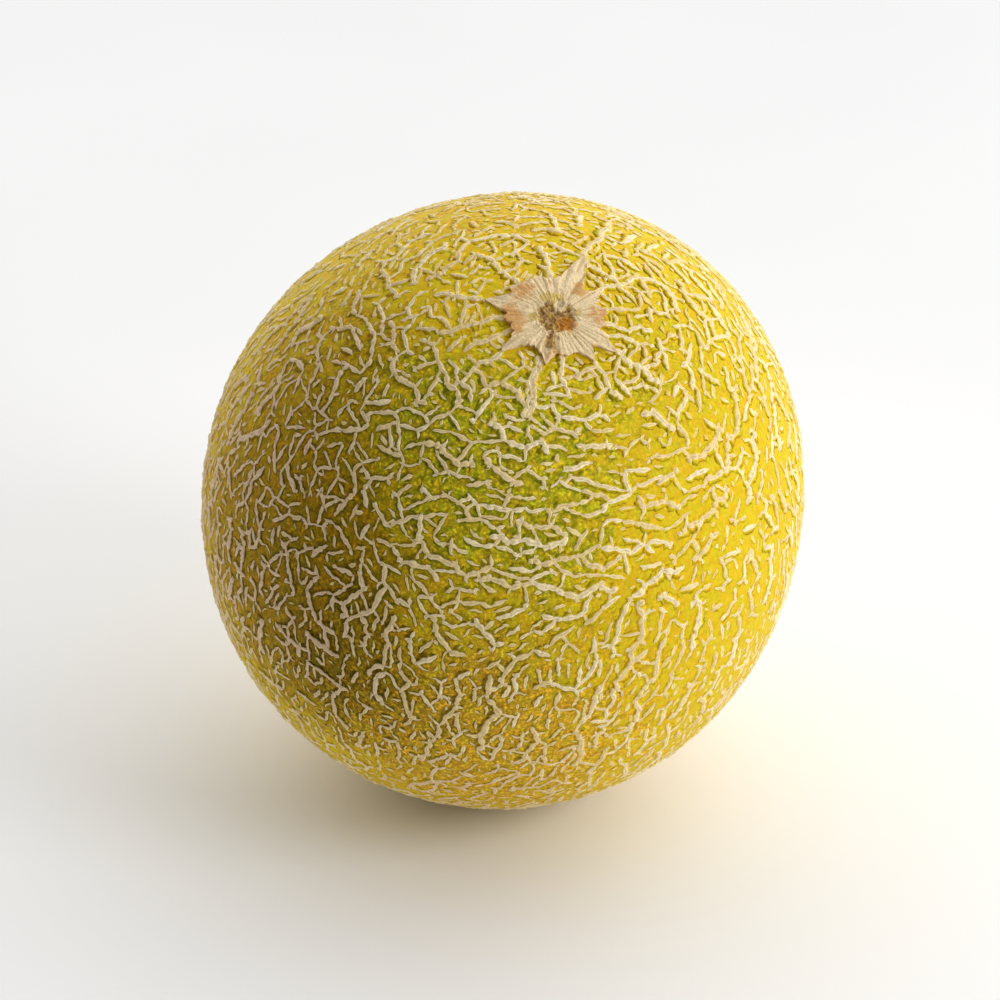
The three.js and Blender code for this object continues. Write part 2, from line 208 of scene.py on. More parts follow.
# On one side the strands are short and run every way: its middle, how far it reaches, where the change is
# full, how much shorter the strands are, how much wider their directions spread, and how much more they keep
# to their own way.
MIXED_AT = (-0.71, -0.32, 0.62)
MIXED_REACH = 36
MIXED_FULL = 12
MIXED_SHORTER = 0.5
MIXED_SPREAD = 110
MIXED_OWN_WAY = 0.5

# Finer parts of the net, laid between the strands: fill strands, dashes and flecks.
FINE_SEED = NET_SEED + 3
FINE_ACROSS_REACH = 0.6
FILL = {
    "tries": 7000, "spacing": 2.6, "swing": 0.7, "across": 0.26, "spread": 54, "reach": (1.4, 4.8),
    "width": (0.84, 1.28), "join": 1.2, "meets": 0.95, "piece": (1.0, 2.7), "bend": (18, 58), "own": 0.45,
}
DASH = {
    "tries": 14000, "spacing": 1.55, "swing": 0.0, "across": 0.15, "spread": 56, "reach": (0.6, 2.0),
    "width": (0.74, 1.16), "join": 0.9, "meets": 0.4, "piece": (1.0, 2.2), "bend": (10, 46), "own": 0.9,
}
FLECK = {
    "tries": 20000, "spacing": 1.4, "swing": 0.0, "across": 0.18, "spread": 66, "reach": (0.2, 0.9),
    "width": (0.60, 0.90), "join": 0.8, "meets": 0.0, "piece": (1.2, 2.6), "bend": (3, 30), "own": 0.9,
}
TWIG = {
    "share": 0.72, "angle": (58, 115), "reach": (0.7, 3.6), "width": (0.68, 1.04), "free": 1.0, "ahead": 1.5,
    "join": 0.9, "meets": 0.85, "piece": (1.2, 2.8), "bend": (10, 46), "own": 0.9,
}
# Bridges from the free ends of strands to a strand ahead of them: the share of ends that get one, for
# coarse strands and fill strands and for dashes, how far ahead they look, and how far round that point.
BRIDGE_SHARE = 0.45
DASH_BRIDGE_SHARE = 0.3
BRIDGE_AHEAD = 1.5
BRIDGE_REACH = 1.4
BRIDGE_WIDTH = 0.85
# Spurs: the share of bends where a strand runs on a little past the turn, how far, and how wide.
SPUR_SHARE = 0.7
SPUR_REACH = (0.8, 1.7)
SPUR_WIDTH = 0.8
# Strands broader than this are laid as a band of narrow ones, side by side.
BROAD_STRAND = 2.2
BAND_STRIPS = 3
BAND_STRIP_WIDTH = 0.5
# The fine net is this much closer at the stalk scar, and evens out over this distance.
STALK_CLOSER = 0.25
STALK_CLOSER_REACH = 34
# On one side it is wider apart by this share: the middle of that side, how far it reaches, where it is full.
SPARSE = 0.3
SPARSE_AT = (0.55, -0.46, 0.69)
SPARSE_REACH = 52
SPARSE_FULL = 20

# Cross sections of strands, as half widths sideways and widths up: a thin skirt that hugs the skin, two rims
# and a shallow trough between them, or for the smallest ones a plain ridge.
STRAND_PROFILE = [
    (-2.4, -0.02), (-0.95, 0.04), (-0.6, 0.25), (0.0, 0.18), (0.6, 0.25), (0.95, 0.04), (2.4, -0.02),
]
FLECK_PROFILE = [(-2.4, -0.02), (-0.95, 0.04), (0.0, 0.26), (0.95, 0.04), (2.4, -0.02)]
# How much the cork of each kind of strand is still like the skin.
YOUNG = {"strand": 0.0, "fill": 0.0, "twig": 0.15, "spur": 0.1, "dash": 0.35, "fleck": 0.8}
# A strand is narrower at its bends and thins out over its free ends.
BEND_NARROWING = 0.42
END_TAPER = 1.2
END_WIDTH = 0.45
FLECK_END_WIDTH = 0.72
WIDTH_NOISE = 0.26
BEND_ROUNDING = 0.2
# Coarse strands look this much narrower than their solid, whose sides lean out more.
COARSE_SLIM = 0.88
# A strand wanders sideways from one of these steps to the next, and its sides are ragged.
WANDER = 0.3
WANDER_STEP = 1.2
RAGGED = 0.7
RAGGED_SIZE = 0.7
GROUND_CLEARANCE = 0.02
# Depth of the fine relief of the skin, of the cork and of the scars.
SKIN_RELIEF = 0.06
CORK_RELIEF = 0.07
SCAR_RELIEF = 0.09
# Gloss of what is alive and of what is dry.
LIVE_SPECULAR = 0.05
DRY_SPECULAR = 0.1
DRY_ROUGHNESS = 0.85
FLOOR_ROUGHNESS = 0.9
# Sizes of the skin's cells, specks and warm and cool spots.
SKIN_CELL = 1.35
SKIN_SPECK = 0.68
SKIN_SPOT = 0.95
# Specks stand out more in the green, amber and deep areas: by how much, and then how far their tone swings.
# In the deep areas their dark side is partly painted shade of the skin's fine relief.
GREEN_CONTRAST = 0.7
AMBER_CONTRAST = 0.65
DEEP_CONTRAST = 2.4
SHADE_SWING = 0.2
SPECK_SWING = 0.64
# The cork: how dark the fissure in its trough is, partly painted shade, how pale its rims are, a painted
# highlight, and how much painted shade the colour areas add to its sides and to the skirt beside it.
TROUGH_SHARE = 0.65
RIM_HIGHLIGHT = 0.12
AREA_PAINTED_SHADE = 0.18
# Painted shade on the cork: how much of the skin's deeper tone the cork takes on.
CORK_PAINTED_SHADE = 0.3

# Broad colour areas of the skin: the way to the middle (right, up, toward the viewer), radius, strength.
GREEN_AREAS = [
    ((-0.01, 0.08, 1.0), 24, 1.0),
    ((0.15, -0.1, 0.98), 18, 0.35),
    ((-0.22, 0.3, 0.93), 20, 0.35),
    ((0.45, 0.42, 0.8), 24, 0.18),
    ((0.55, -0.2, -0.8), 40, 0.7),
    ((-0.4, 0.5, -0.75), 34, 0.5),
]
OCHRE_AREAS = [
    ((-0.74, -0.05, 0.66), 34, 0.8),
    ((-0.62, -0.36, 0.7), 30, 0.8),
    ((-0.5, 0.46, 0.74), 26, 0.35),
    ((-0.9, 0.1, -0.4), 40, 0.5),
]
AMBER_AREAS = [
    ((0.0, -0.78, 0.62), 32, 0.9),
    ((-0.38, -0.64, 0.66), 26, 0.5),
    ((0.0, 0.92, 0.38), 24, 0.5),
    ((-0.6, 0.55, 0.55), 28, 0.4),
    ((0.2, -0.7, -0.7), 50, 0.8),
]
# Areas where the skin is deeper in tone: partly its own colour, partly painted shade of the dim side.
DEEP_AND_SHADED_AREAS = [
    ((-0.62, -0.2, 0.76), 32, 0.40),
    ((-0.34, 0.0, 0.94), 20, 0.14),
    ((-0.5, -0.57, 0.65), 18, 0.34),
    ((0.05, -0.42, 0.9), 18, 0.15),
    ((-0.1, -0.66, 0.75), 24, 0.12),
    ((0.42, 0.42, 0.8), 26, 0.11),
    ((-0.45, 0.36, 0.82), 26, 0.18),
    ((0.38, -0.42, 0.82), 20, 0.05),
]
SKIN_AREAS = {"green": GREEN_AREAS, "ochre": OCHRE_AREAS, "amber": AMBER_AREAS, "deep": DEEP_AND_SHADED_AREAS}
# Areas where the net is browner.
BROWN_AREAS = [
    ((-0.62, -0.4, 0.68), 28, 0.7),
    ((-0.78, 0.15, 0.6), 34, 0.7),
    ((-0.96, 0.0, 0.28), 30, 0.6),
    ((-0.1, -0.93, 0.35), 26, 0.7),
    ((-0.5, 0.5, 0.7), 24, 0.35),
]

# Camera: the photograph's angle. The body's middle and its radius are in the picture's pixels.
PICTURE = 1000
BODY_PIXELS = 307
BODY_AT = (504, 500)
BODY_WITH_NET = 73.0
CAMERA_DISTANCE = 850
SENSOR = 36

# Light: a broad lamp, and a surround that is brightest on one side.
KEY_FROM = (0.78, 0.2, 0.59)
KEY_DISTANCE = 1200
KEY_SIZE = 520
KEY_POWER = 4.4
SKY_MEAN = 1.2
SKY_SWING = (0.52, 0.06, -1.10)
FLOOR_SIZE = 9000


# Vector helpers for the growing of the net.
def dot(a, b):
    return a[0] * b[0] + a[1] * b[1] + a[2] * b[2]


def cross(a, b):
    return (
        a[1] * b[2] - a[2] * b[1],
        a[2] * b[0] - a[0] * b[2],
        a[0] * b[1] - a[1] * b[0],
    )


def mix(a, x, b, y):
    return (a[0] * x + b[0] * y, a[1] * x + b[1] * y, a[2] * x + b[2] * y)


def unit(a):
    s = 1 / math.sqrt(dot(a, a))
    return (a[0] * s, a[1] * s, a[2] * s)


def rotate(t, p, angle):
    """Turns the tangent t at p by an angle about p."""
    return mix(t, math.cos(angle), cross(p, t), math.sin(angle))


def level(way, p):
    """A way made tangent to the ball at p."""
    return unit(mix(way, 1, p, -dot(way, p)))


def onward(p, way, distance):
    """The point at a distance from p along a tangent."""
    s = distance / BODY_RADIUS
    return unit(mix(p, math.cos(s), way, math.sin(s)))


def down_from_stalk(p):
    return unit(mix(p, p[2], (0, 0, 1), -1))


def smooth(lo, hi, x):
    t = np.clip((x - lo) / (hi - lo), 0.0, 1.0)
    return t * t * (3 - 2 * t)


def between(span, share):
    return span[0] + (span[1] - span[0]) * share


def stream(seed):
    """A repeatable stream of numbers from 0 to 1."""
    state = seed

    def draw():
        nonlocal state
        state = (state + 0x6D2B79F5) & 0xFFFFFFFF
        t = ((state ^ (state >> 15)) * (state | 1)) & 0xFFFFFFFF
        t = ((t + (((t ^ (t >> 7)) * (t | 61)) & 0xFFFFFFFF)) & 0xFFFFFFFF) ^ t
        return (t ^ (t >> 14)) / 4294967296

    return draw


def spot(rnd):
    z = 2 * rnd() - 1
    a = 2 * math.pi * rnd()
    q = math.sqrt(1 - z * z)
    return (q * math.cos(a), q * math.sin(a), z)


# Frames.
STALK_AXIS = unit(STALK)
STALK_RIGHT = unit(cross((0, 1, 0), STALK_AXIS))
STALK_UP = cross(STALK_AXIS, STALK_RIGHT)
LIFT_COS = math.cos(VIEW_LIFT * RAD)
LIFT_SIN = math.sin(VIEW_LIFT * RAD)
# The viewer's right, up and toward, and the stalk's own axes, in the fruit's frame.
VIEW_AXES = np.array([(1, 0, 0), (0, LIFT_SIN, LIFT_COS), (0, -LIFT_COS, LIFT_SIN)])
STALK_AXES = np.array([STALK_RIGHT, STALK_UP, STALK_AXIS]) @ VIEW_AXES


def to_world(directions):
    """Directions in the stalk frame, turned into the fruit's frame."""
    return np.asarray(directions) @ STALK_AXES


def by_stalk(azimuth, distance):
    """A direction, from its azimuth round the stalk in radians and its distance from it along the skin."""
    th = distance / BODY_RADIUS
    return np.stack([np.sin(th) * np.cos(azimuth), np.sin(th) * np.sin(azimuth), np.cos(th)], axis=-1)


def from_stalk(p):
    return math.acos(min(1, max(-1, p[2]))) * BODY_RADIUS


def skin_radius(directions):
    """Radius of the skin, before the scars and the net."""
    view = to_world(directions) @ VIEW_AXES.T
    across = np.hypot(view[..., 0], view[..., 1])
    angle = np.arctan2(view[..., 1], view[..., 0])
    r = np.ones(across.shape)
    for waves, depth, phase in OUTLINE_WAVES:
        r += depth * across**waves * np.cos(waves * (angle - phase * RAD))
    far = np.arccos(np.clip(directions[..., 2], -1, 1)) * BODY_RADIUS
    return BODY_RADIUS * r - BASIN_DEPTH * np.exp(-((far / BASIN_RADIUS) ** 2))


def on_skin(directions, height):
    """Points in metres, at a height over the skin."""
    radius = skin_radius(directions) + height
    return (np.array(BODY_CENTRE) + to_world(directions) * radius[..., None]) * MM


def on_axis(side, height):
    """The point over the middle of the stalk scar (side 1) or of the flower scar (side -1)."""
    return on_skin(np.array([[0.0, 0.0, side]]), np.array([height]))[0]


# Slow waves over the fruit.
def slow_waves():
    rnd = stream(NET_SEED + 1)
    waves = []
    for _ in range(20):
        direction = spot(rnd)
        waves.append((direction, 2 * math.pi * rnd()))
    return waves


WAVES = slow_waves()


def drift(p, which, scale):
    s = 0
    for direction, phase in WAVES[which * 5 : which * 5 + 5]:
        s += math.sin(scale * dot(p, direction) + phase)
    return s / 2.6


def star_radius(azimuth):
    """Outline of the stalk scar: its radius in a direction round the stalk, in degrees."""
    rim = SCAR_RIM + SCAR_SWELL * ((1 + math.cos((azimuth - SWELL_AZIMUTH) * RAD)) / 2) ** 4
    r = rim
    for at, tip, half in SCAR_ARMS:
        off = abs(((azimuth - at + 900) % 360) - 180) / half
        if off < 1:
            r = max(r, rim + (tip - rim) * (1 - off) ** SCAR_ARM_TAPER)
    return r


def on_scar(p, stalk_gap):
    """Whether a direction lies on either scar, or nearer to it than a strand may grow."""
    far = from_stalk(p)
    if far > math.pi * BODY_RADIUS - FLOWER_GAP:
        return True
    if far > SCAR_REACH:
        return False
    return far < star_radius(math.atan2(p[1], p[0]) / RAD) + stalk_gap


def grain(p):
    """The way most strands run at p: round the stalk near it, nearly from stalk to flower farther down."""
    theta = math.acos(max(-1, min(1, p[2]))) / RAD
    down = down_from_stalk(p)
    around = cross(p, down)
    parted = (math.atan2(p[1], p[0]) / RAD - TURN_PARTING + 900) % 360 - 180
    later = TURN_LATER * max(0, 1 - abs(parted) / TURN_LATER_HALF)
    t = min(1, max(0, (theta - TURN_START) / (TURN_END + later - TURN_START)))
    turned = TURN_FULL * t * t * (3 - 2 * t)
    turn = RAD * ((-turned if parted > 0 else turned) + GRAIN_SWAY * drift(p, 0, GRAIN_WAVES))
    return mix(around, math.cos(turn), down, math.sin(turn))


def nearness(p, middle, reach, full):
    """1 within a distance of the middle of an area, falling to 0 at its reach."""
    lo = math.cos(reach / BODY_RADIUS)
    hi = math.cos(full / BODY_RADIUS)
    t = min(1, max(0, (dot(p, middle) - lo) / (hi - lo)))
    return t * t * (3 - 2 * t)


def mixed(p):
    """How much p lies where the strands are short and run every way."""
    return nearness(p, MIXED_AT, MIXED_REACH, MIXED_FULL)


class Net:
    """The strands laid so far, and where their points are."""

    def __init__(self):
        self.cell = NET_HASH_CELL / BODY_RADIUS
        self.grid = {}
        self.lines = []

    def key(self, p):
        c = self.cell
        return (math.floor(p[0] / c), math.floor(p[1] / c), math.floor(p[2] / c))

    def nearest(self, p, reach):
        """The nearest laid point within reach (mm): (distance, point), or None."""
        n = math.ceil(reach / NET_HASH_CELL)
        at = self.key(p)
        best = (reach / BODY_RADIUS) ** 2
        found = None
        for i in range(at[0] - n, at[0] + n + 1):
            for j in range(at[1] - n, at[1] + n + 1):
                for k in range(at[2] - n, at[2] + n + 1):
                    for q in self.grid.get((i, j, k), ()):
                        d = (q[0] - p[0]) ** 2 + (q[1] - p[1]) ** 2 + (q[2] - p[2]) ** 2
                        if d < best:
                            best = d
                            found = q
        return None if found is None else (math.sqrt(best) * BODY_RADIUS, found)

    def lay(self, kind, points, bends, width, joined):
        line = {"kind": kind, "points": points, "bends": bends, "width": width, "joined": joined}
        self.lines.append(line)
        for p in points:
            self.grid.setdefault(self.key(p), []).append(p)


def grow(net, rnd, start, heading, reach, rule):
    """Walks one way in short straight pieces: the points, the bends, and whether it met a strand."""
    points = []
    bends = []
    p = start
    t = heading
    base = heading
    side = 1 if rnd() < 0.5 else -1
    run = between(rule["piece"], rnd())
    s = NET_STEP / BODY_RADIUS
    going = 0.0
    while going < reach:
        if run <= 0:
            g = grain(p)
            if dot(g, t) < 0:
                g = (-g[0], -g[1], -g[2])
            own = rule["own"] + (1 - rule["own"]) * MIXED_OWN_WAY * mixed(p)
            base = level(unit(mix(g, 1 - own, base, own)), p)
            t = rotate(base, p, side * RAD * between(rule["bend"], rnd()))
            side = -side if rnd() < ZIGZAG else side
            run = between(rule["piece"], rnd())
            if bends:
                bends[-1] = True
        q = mix(p, math.cos(s), t, math.sin(s))
        t = mix(t, math.cos(s), p, -math.sin(s))
        p = unit(q)
        run -= NET_STEP
        if on_scar(p, rule["stalk_gap"]):
            break
        hit = net.nearest(p, rule["join"])
        if hit and going > MEETS_AFTER:
            if "meets" in rule and rnd() >= rule["meets"]:
                break
            points.append(hit[1])
            bends.append(False)
            return points, bends, True
        points.append(p)
        bends.append(False)
        going += NET_STEP
    return points, bends, False


def lay_spokes(net, rnd):
    for azimuth, reach, width in SPOKES:
        p = tuple(by_stalk(azimuth * RAD, star_radius(azimuth) - SPOKE_ROOT).tolist())
        points, bends, met = grow(net, rnd, p, down_from_stalk(p), reach, SPOKE)
        net.lay("strand", [p, *points], [False, *bends], width, (True, met))


def some_way(rnd, p, across, spread):
    """A way along the grain or across it, give or take half of the spread in degrees."""
    spread += MIXED_SPREAD * mixed(p)
    return rotate(grain(p), p, RAD * ((90 if across else 0) + spread * (rnd() - 0.5)))


def grow_both_ways(net, rnd, p, aim, reach, rule):
    ahead, ahead_bends, ahead_met = grow(net, rnd, p, aim, reach, rule)
    behind, behind_bends, behind_met = grow(net, rnd, p, mix(aim, -1, p, 0), reach, rule)
    points = [*behind[::-1], p, *ahead]
    bends = [*behind_bends[::-1], False, *ahead_bends]
    return points, bends, (behind_met, ahead_met)


def grow_strands(net):
    """The coarse strands, point for point those of the solid."""
    rnd = stream(NET_SEED)
    lay_spokes(net, rnd)
    rule = {
        "join": STRAND_JOIN, "piece": STRAND_PIECE, "bend": STRAND_BEND, "own": STRAND_OWN_WAY,
        "stalk_gap": STALK_GAP,
    }
    total = 0
    while total < STRAND_TOTAL:
        p = spot(rnd)
        spacing = STRAND_SPACING + STRAND_SPACING_SWING * drift(p, 1, SPACING_WAVES)
        if on_scar(p, 2 * STALK_GAP) or net.nearest(p, spacing):
            continue
        across = rnd() < STRAND_ACROSS
        aim = some_way(rnd, p, across, STRAND_SPREAD)
        reach = (STRAND_ACROSS_REACH if across else 1) * between(STRAND_REACH, rnd())
        reach *= 1 - MIXED_SHORTER * mixed(p)
        points, bends, joined = grow_both_ways(net, rnd, p, aim, reach, rule)
        width = between(STRAND_WIDTH, rnd())
        if len(points) > 3:
            net.lay("strand", points, bends, width, joined)
            total += NET_STEP * (len(points) - 1)


def grow_between(net, rnd, kind, rule):
    """Short pieces of net in the places that are still free."""
    rule = {**rule, "stalk_gap": STALK_GAP * 0.5}
    for _ in range(rule["tries"]):
        p = spot(rnd)
        if on_scar(p, STALK_GAP):
            continue
        closer = 1 - STALK_CLOSER * math.exp(-((from_stalk(p) / STALK_CLOSER_REACH) ** 2))
        closer *= 1 + SPARSE * nearness(p, SPARSE_AT, SPARSE_REACH, SPARSE_FULL)
        if net.nearest(p, closer * (rule["spacing"] + rule["swing"] * drift(p, 1, SPACING_WAVES))):
            continue
        across = rnd() < rule["across"]
        aim = some_way(rnd, p, across, rule["spread"])
        reach = (FINE_ACROSS_REACH if across else 1) * between(rule["reach"], rnd())
        points, bends, joined = grow_both_ways(net, rnd, p, aim, reach, rule)
        if len(points) > 2:
            net.lay(kind, points, bends, between(rule["width"], rnd()), joined)


def grow_twigs(net, rnd):
    """Short twigs out of the outer side of the bends."""
    rule = {**TWIG, "stalk_gap": STALK_GAP * 0.5}
    for line in list(net.lines):
        for i in range(2, len(line["points"]) - 2):
            if not line["bends"][i] or rnd() > TWIG["share"]:
                continue
            p = line["points"][i]
            before = line["points"][i - 2]
            after = line["points"][i + 2]
            t = level(unit(mix(after, 1, before, -1)), p)
            outward = mix(p, 1, mix(before, 0.5, after, 0.5), -1)
            way = 1 if dot(cross(p, t), outward) > 0 else -1
            heading = rotate(t, p, way * RAD * between(TWIG["angle"], rnd()))
            if net.nearest(onward(p, heading, TWIG["ahead"]), TWIG["free"]):
                continue
            points, bends, met = grow(net, rnd, p, heading, between(TWIG["reach"], rnd()), rule)
            if len(points) > 1:
                net.lay("twig", [p, *points], [False, *bends], between(TWIG["width"], rnd()), (True, met))


def bridge(net, start, end):
    """Points of a straight strand from one point to another."""
    length = math.dist(start, end) * BODY_RADIUS
    steps = max(2, round(length / NET_STEP))
    return [unit(mix(start, 1 - i / steps, end, i / steps)) for i in range(steps + 1)]


def grow_bridges(net, rnd, kinds, share):
    """Joins free ends of strands to a strand that lies ahead of them."""
    for line in list(net.lines):
        if line["kind"] not in kinds:
            continue
        points = line["points"]
        for end, tip, before in ((0, points[0], points[2]), (1, points[-1], points[-3])):
            if line["joined"][end] or rnd() > share:
                continue
            way = level(mix(tip, 1, before, -1), tip)
            hit = net.nearest(onward(tip, way, BRIDGE_AHEAD), BRIDGE_REACH)
            if not hit:
                continue
            line["joined"] = (line["joined"][0] or end == 0, line["joined"][1] or end == 1)
            path = bridge(net, tip, hit[1])
            net.lay("twig", path, [False] * len(path), line["width"] * BRIDGE_WIDTH, (True, True))


def grow_spurs(net, rnd):
    """At many bends a strand runs on a little past the turn."""
    for line in list(net.lines):
        points = line["points"]
        for i in range(1, len(points) - 1):
            if not line["bends"][i] or rnd() > SPUR_SHARE:
                continue
            back = points[i - 1] if rnd() < 0.5 else points[i + 1]
            way = level(mix(points[i], 1, back, -1), points[i])
            tip = onward(points[i], way, between(SPUR_REACH, rnd()))
            if not on_scar(tip, STALK_GAP):
                path = [points[i], unit(mix(points[i], 1, tip, 1)), tip]
                net.lay("spur", path, [False] * 3, line["width"] * SPUR_WIDTH, (True, False))


def grow_net():
    net = Net()
    grow_strands(net)
    rnd = stream(FINE_SEED)
    grow_between(net, rnd, "fill", FILL)
    grow_bridges(net, rnd, ("strand", "fill"), BRIDGE_SHARE)
    grow_twigs(net, rnd)
    grow_spurs(net, rnd)
    grow_between(net, rnd, "dash", DASH)
    grow_bridges(net, rnd, ("dash",), DASH_BRIDGE_SHARE)
    grow_between(net, rnd, "fleck", FLECK)
    return net


# Node trees.
class Nodes:
    """Makes and joins the nodes of one tree."""

    def __init__(self, tree):
        self.tree = tree

    def put(self, socket, value):
        if isinstance(value, bpy.types.NodeSocket):
            self.tree.links.new(value, socket)
        else:
            socket.default_value = value

    def add(self, kind, inputs=None, **settings):
        node = self.tree.nodes.new(kind)
        for name, value in settings.items():
            setattr(node, name, value)
        for key, value in (inputs or {}).items():
            self.put(node.inputs[key], value)
        return node

    def math(self, operation, *values):
        return self.add("ShaderNodeMath", dict(enumerate(values)), operation=operation).outputs[0]

    def plus(self, a, b):
        return self.math("ADD", a, b)

    def minus(self, a, b):
        return self.math("SUBTRACT", a, b)

    def times(self, a, b):
        return self.math("MULTIPLY", a, b)

    def on_vectors(self, operation, inputs, output="Vector"):
        return self.add("ShaderNodeVectorMath", inputs, operation=operation).outputs[output]

    def geometry(self, kind, inputs=None, **settings):
        return self.add("GeometryNode" + kind, inputs, **settings).outputs[0]

    def place(self, shape, place):
        return self.geometry("SetPosition", {"Geometry": shape, "Position": place})

    def vector(self, operation, *values):
        return self.on_vectors(operation, dict(enumerate(values)))

    def dot(self, a, b):
        return self.on_vectors("DOT_PRODUCT", {0: a, 1: b}, "Value")

    def scale(self, vector, by):
        return self.on_vectors("SCALE", {0: vector, "Scale": by})

    def rise(self, value, low, high, start=0.0, end=1.0):
        """Goes smoothly from start to end while value goes from low to high."""
        inputs = {"Value": value, "From Min": low, "From Max": high, "To Min": start, "To Max": end}
        return self.add("ShaderNodeMapRange", inputs, interpolation_type="SMOOTHSTEP").outputs[0]

    def noise(self, place, size, detail=2.0, roughness=0.5, distortion=0.0):
        inputs = {"Vector": place, "Scale": 1 / size, "Detail": detail}
        inputs.update({"Roughness": roughness, "Distortion": distortion})
        return self.add("ShaderNodeTexNoise", inputs).outputs[0]

    def blend(self, share, a, b, kind="MIX"):
        """Colour a where share is 0 and colour b where it is 1."""
        node = self.add("ShaderNodeMix", {0: share, 6: a, 7: b}, data_type="RGBA", blend_type=kind)
        return node.outputs[2]

    def tint(self, base, by):
        """A colour multiplied by another colour or a tone."""
        return self.blend(1.0, base, by, "MULTIPLY")

    def read(self, name):
        """A number that is kept at each point of the piece."""
        return self.add("ShaderNodeAttribute", attribute_name=name).outputs["Fac"]

    def group(self, tree, inputs):
        node = self.add("ShaderNodeGroup", node_tree=tree)
        for name, value in inputs.items():
            self.put(node.inputs[name], value)
        return node.outputs


def colour(r, g, b):
    return (r, g, b, 1.0)


# Colours.
GOLD = colour(0.77, 0.57, 0.015)
GOLD_DARK = colour(0.71, 0.515, 0.011)
LEAF = colour(0.66, 0.53, 0.016)
LEAF_DARK = colour(0.35, 0.32, 0.009)
OCHRE = colour(0.60, 0.35, 0.006)
OCHRE_DARK = colour(0.38, 0.26, 0.004)
AMBER = colour(0.77, 0.485, 0.026)
AMBER_DARK = colour(0.55, 0.35, 0.018)
WARM = colour(1.05, 0.91, 1.0)
COOL = colour(0.95, 1.0, 1.0)
COOL_GREEN = colour(0.90, 1.0, 1.0)
CORK = colour(0.845, 0.655, 0.32)
CORK_PALE = colour(0.94, 0.795, 0.485)
CORK_SHADE = colour(0.60, 0.42, 0.20)
CORK_BROWN = colour(0.86, 0.635, 0.43)
CORK_YOUNG = colour(0.87, 0.69, 0.24)
# Painted light and painted shade for the skirt beside the strands.
SKIRT_PAINTED_LIGHT = colour(1.12, 1.12, 1.0)
SKIRT_PAINTED_SHADE = colour(0.42, 0.48, 0.44)
SCAR_CREAM = colour(0.85, 0.67, 0.40)
SCAR_FIBRE = colour(0.62, 0.45, 0.24)
SCAR_BROWN = colour(0.62, 0.30, 0.08)
SCAR_PIT = colour(0.46, 0.27, 0.09)
SCAR_CRUMB = colour(0.57, 0.39, 0.18)
SCAR_PIT_DARK = colour(0.30, 0.17, 0.06)
SCAR_RUST = colour(0.60, 0.23, 0.02)
SCAR_GREEN = colour(0.58, 0.40, 0.05)


def new_tree(name, kind, inputs, outputs):
    """A node tree with named sockets: the tree, its maker, what it is given and what it gives."""
    tree = bpy.data.node_groups.new(name, kind)
    for in_out, sockets in (("INPUT", inputs), ("OUTPUT", outputs)):
        for socket, socket_kind in sockets:
            tree.interface.new_socket(socket, in_out=in_out, socket_type="NodeSocket" + socket_kind)
    nodes = Nodes(tree)
    return tree, nodes, nodes.add("NodeGroupInput").outputs, nodes.add("NodeGroupOutput").inputs


def shader_group(name, inputs, outputs):
    return new_tree(name, "ShaderNodeTree", inputs, outputs)


def shape_tree(name, inputs):
    shape = ("Geometry", "Geometry")
    return new_tree(name, "GeometryNodeTree", [shape, *inputs], [shape])


def cork_grain_group():
    """The fine crumbly grain of cork: a tone round 1 and a height from 0 to 1."""
    results = [("Tone", "Float"), ("Height", "Float")]
    tree, nodes, given, result = shader_group("cork_grain", [("Place", "Vector")], results)
    place = given["Place"]
    crumbs = nodes.noise(place, 0.42, detail=3, roughness=0.6)
    lumps = nodes.noise(place, 1.4, detail=2)
    cracks = nodes.add("ShaderNodeTexVoronoi", {"Vector": place, "Scale": 1 / 0.55}).outputs["Distance"]
    height = nodes.plus(nodes.times(crumbs, 0.7), nodes.times(cracks, 0.4))
    grain_tone = nodes.plus(nodes.times(crumbs, 0.6), nodes.times(lumps, 0.4))
    nodes.put(result["Tone"], nodes.plus(0.5, grain_tone))
    nodes.put(result["Height"], height)
    return tree


def mottle_group():
    """Soft patches of one size, from 0 to 1."""
    inputs = [("Place", "Vector"), ("Size", "Float"), ("Low", "Float"), ("High", "Float")]
    tree, nodes, given, result = shader_group("mottle", inputs, [("Patch", "Float")])
    scaled = nodes.scale(given["Place"], nodes.math("DIVIDE", 1.0, given["Size"]))
    cloud = nodes.noise(scaled, 1.0, detail=3, roughness=0.55, distortion=0.4)
    nodes.put(result["Patch"], nodes.rise(cloud, given["Low"], given["High"]))
    return tree


def new_finish(name, specular, roughness=0.5):
    """A material with a plain shader: its maker, the shader, and the place on the object in millimetres."""
    material = bpy.data.materials.new(name)
    material.use_nodes = True
    nodes = Nodes(material.node_tree)
    shader = material.node_tree.nodes["Principled BSDF"]
    shader.inputs["Specular IOR Level"].default_value = specular
    shader.inputs["Roughness"].default_value = roughness
    place = nodes.scale(nodes.add("ShaderNodeTexCoord").outputs["Object"], 1 / MM)
    return material, nodes, shader, place


def roughen(nodes, shader, height, depth):
    """Fine relief from a height, with a depth in millimetres."""
    bump = nodes.add("ShaderNodeBump", {"Height": height, "Distance": depth * MM, "Strength": 1.0})
    nodes.put(shader.inputs["Normal"], bump.outputs["Normal"])


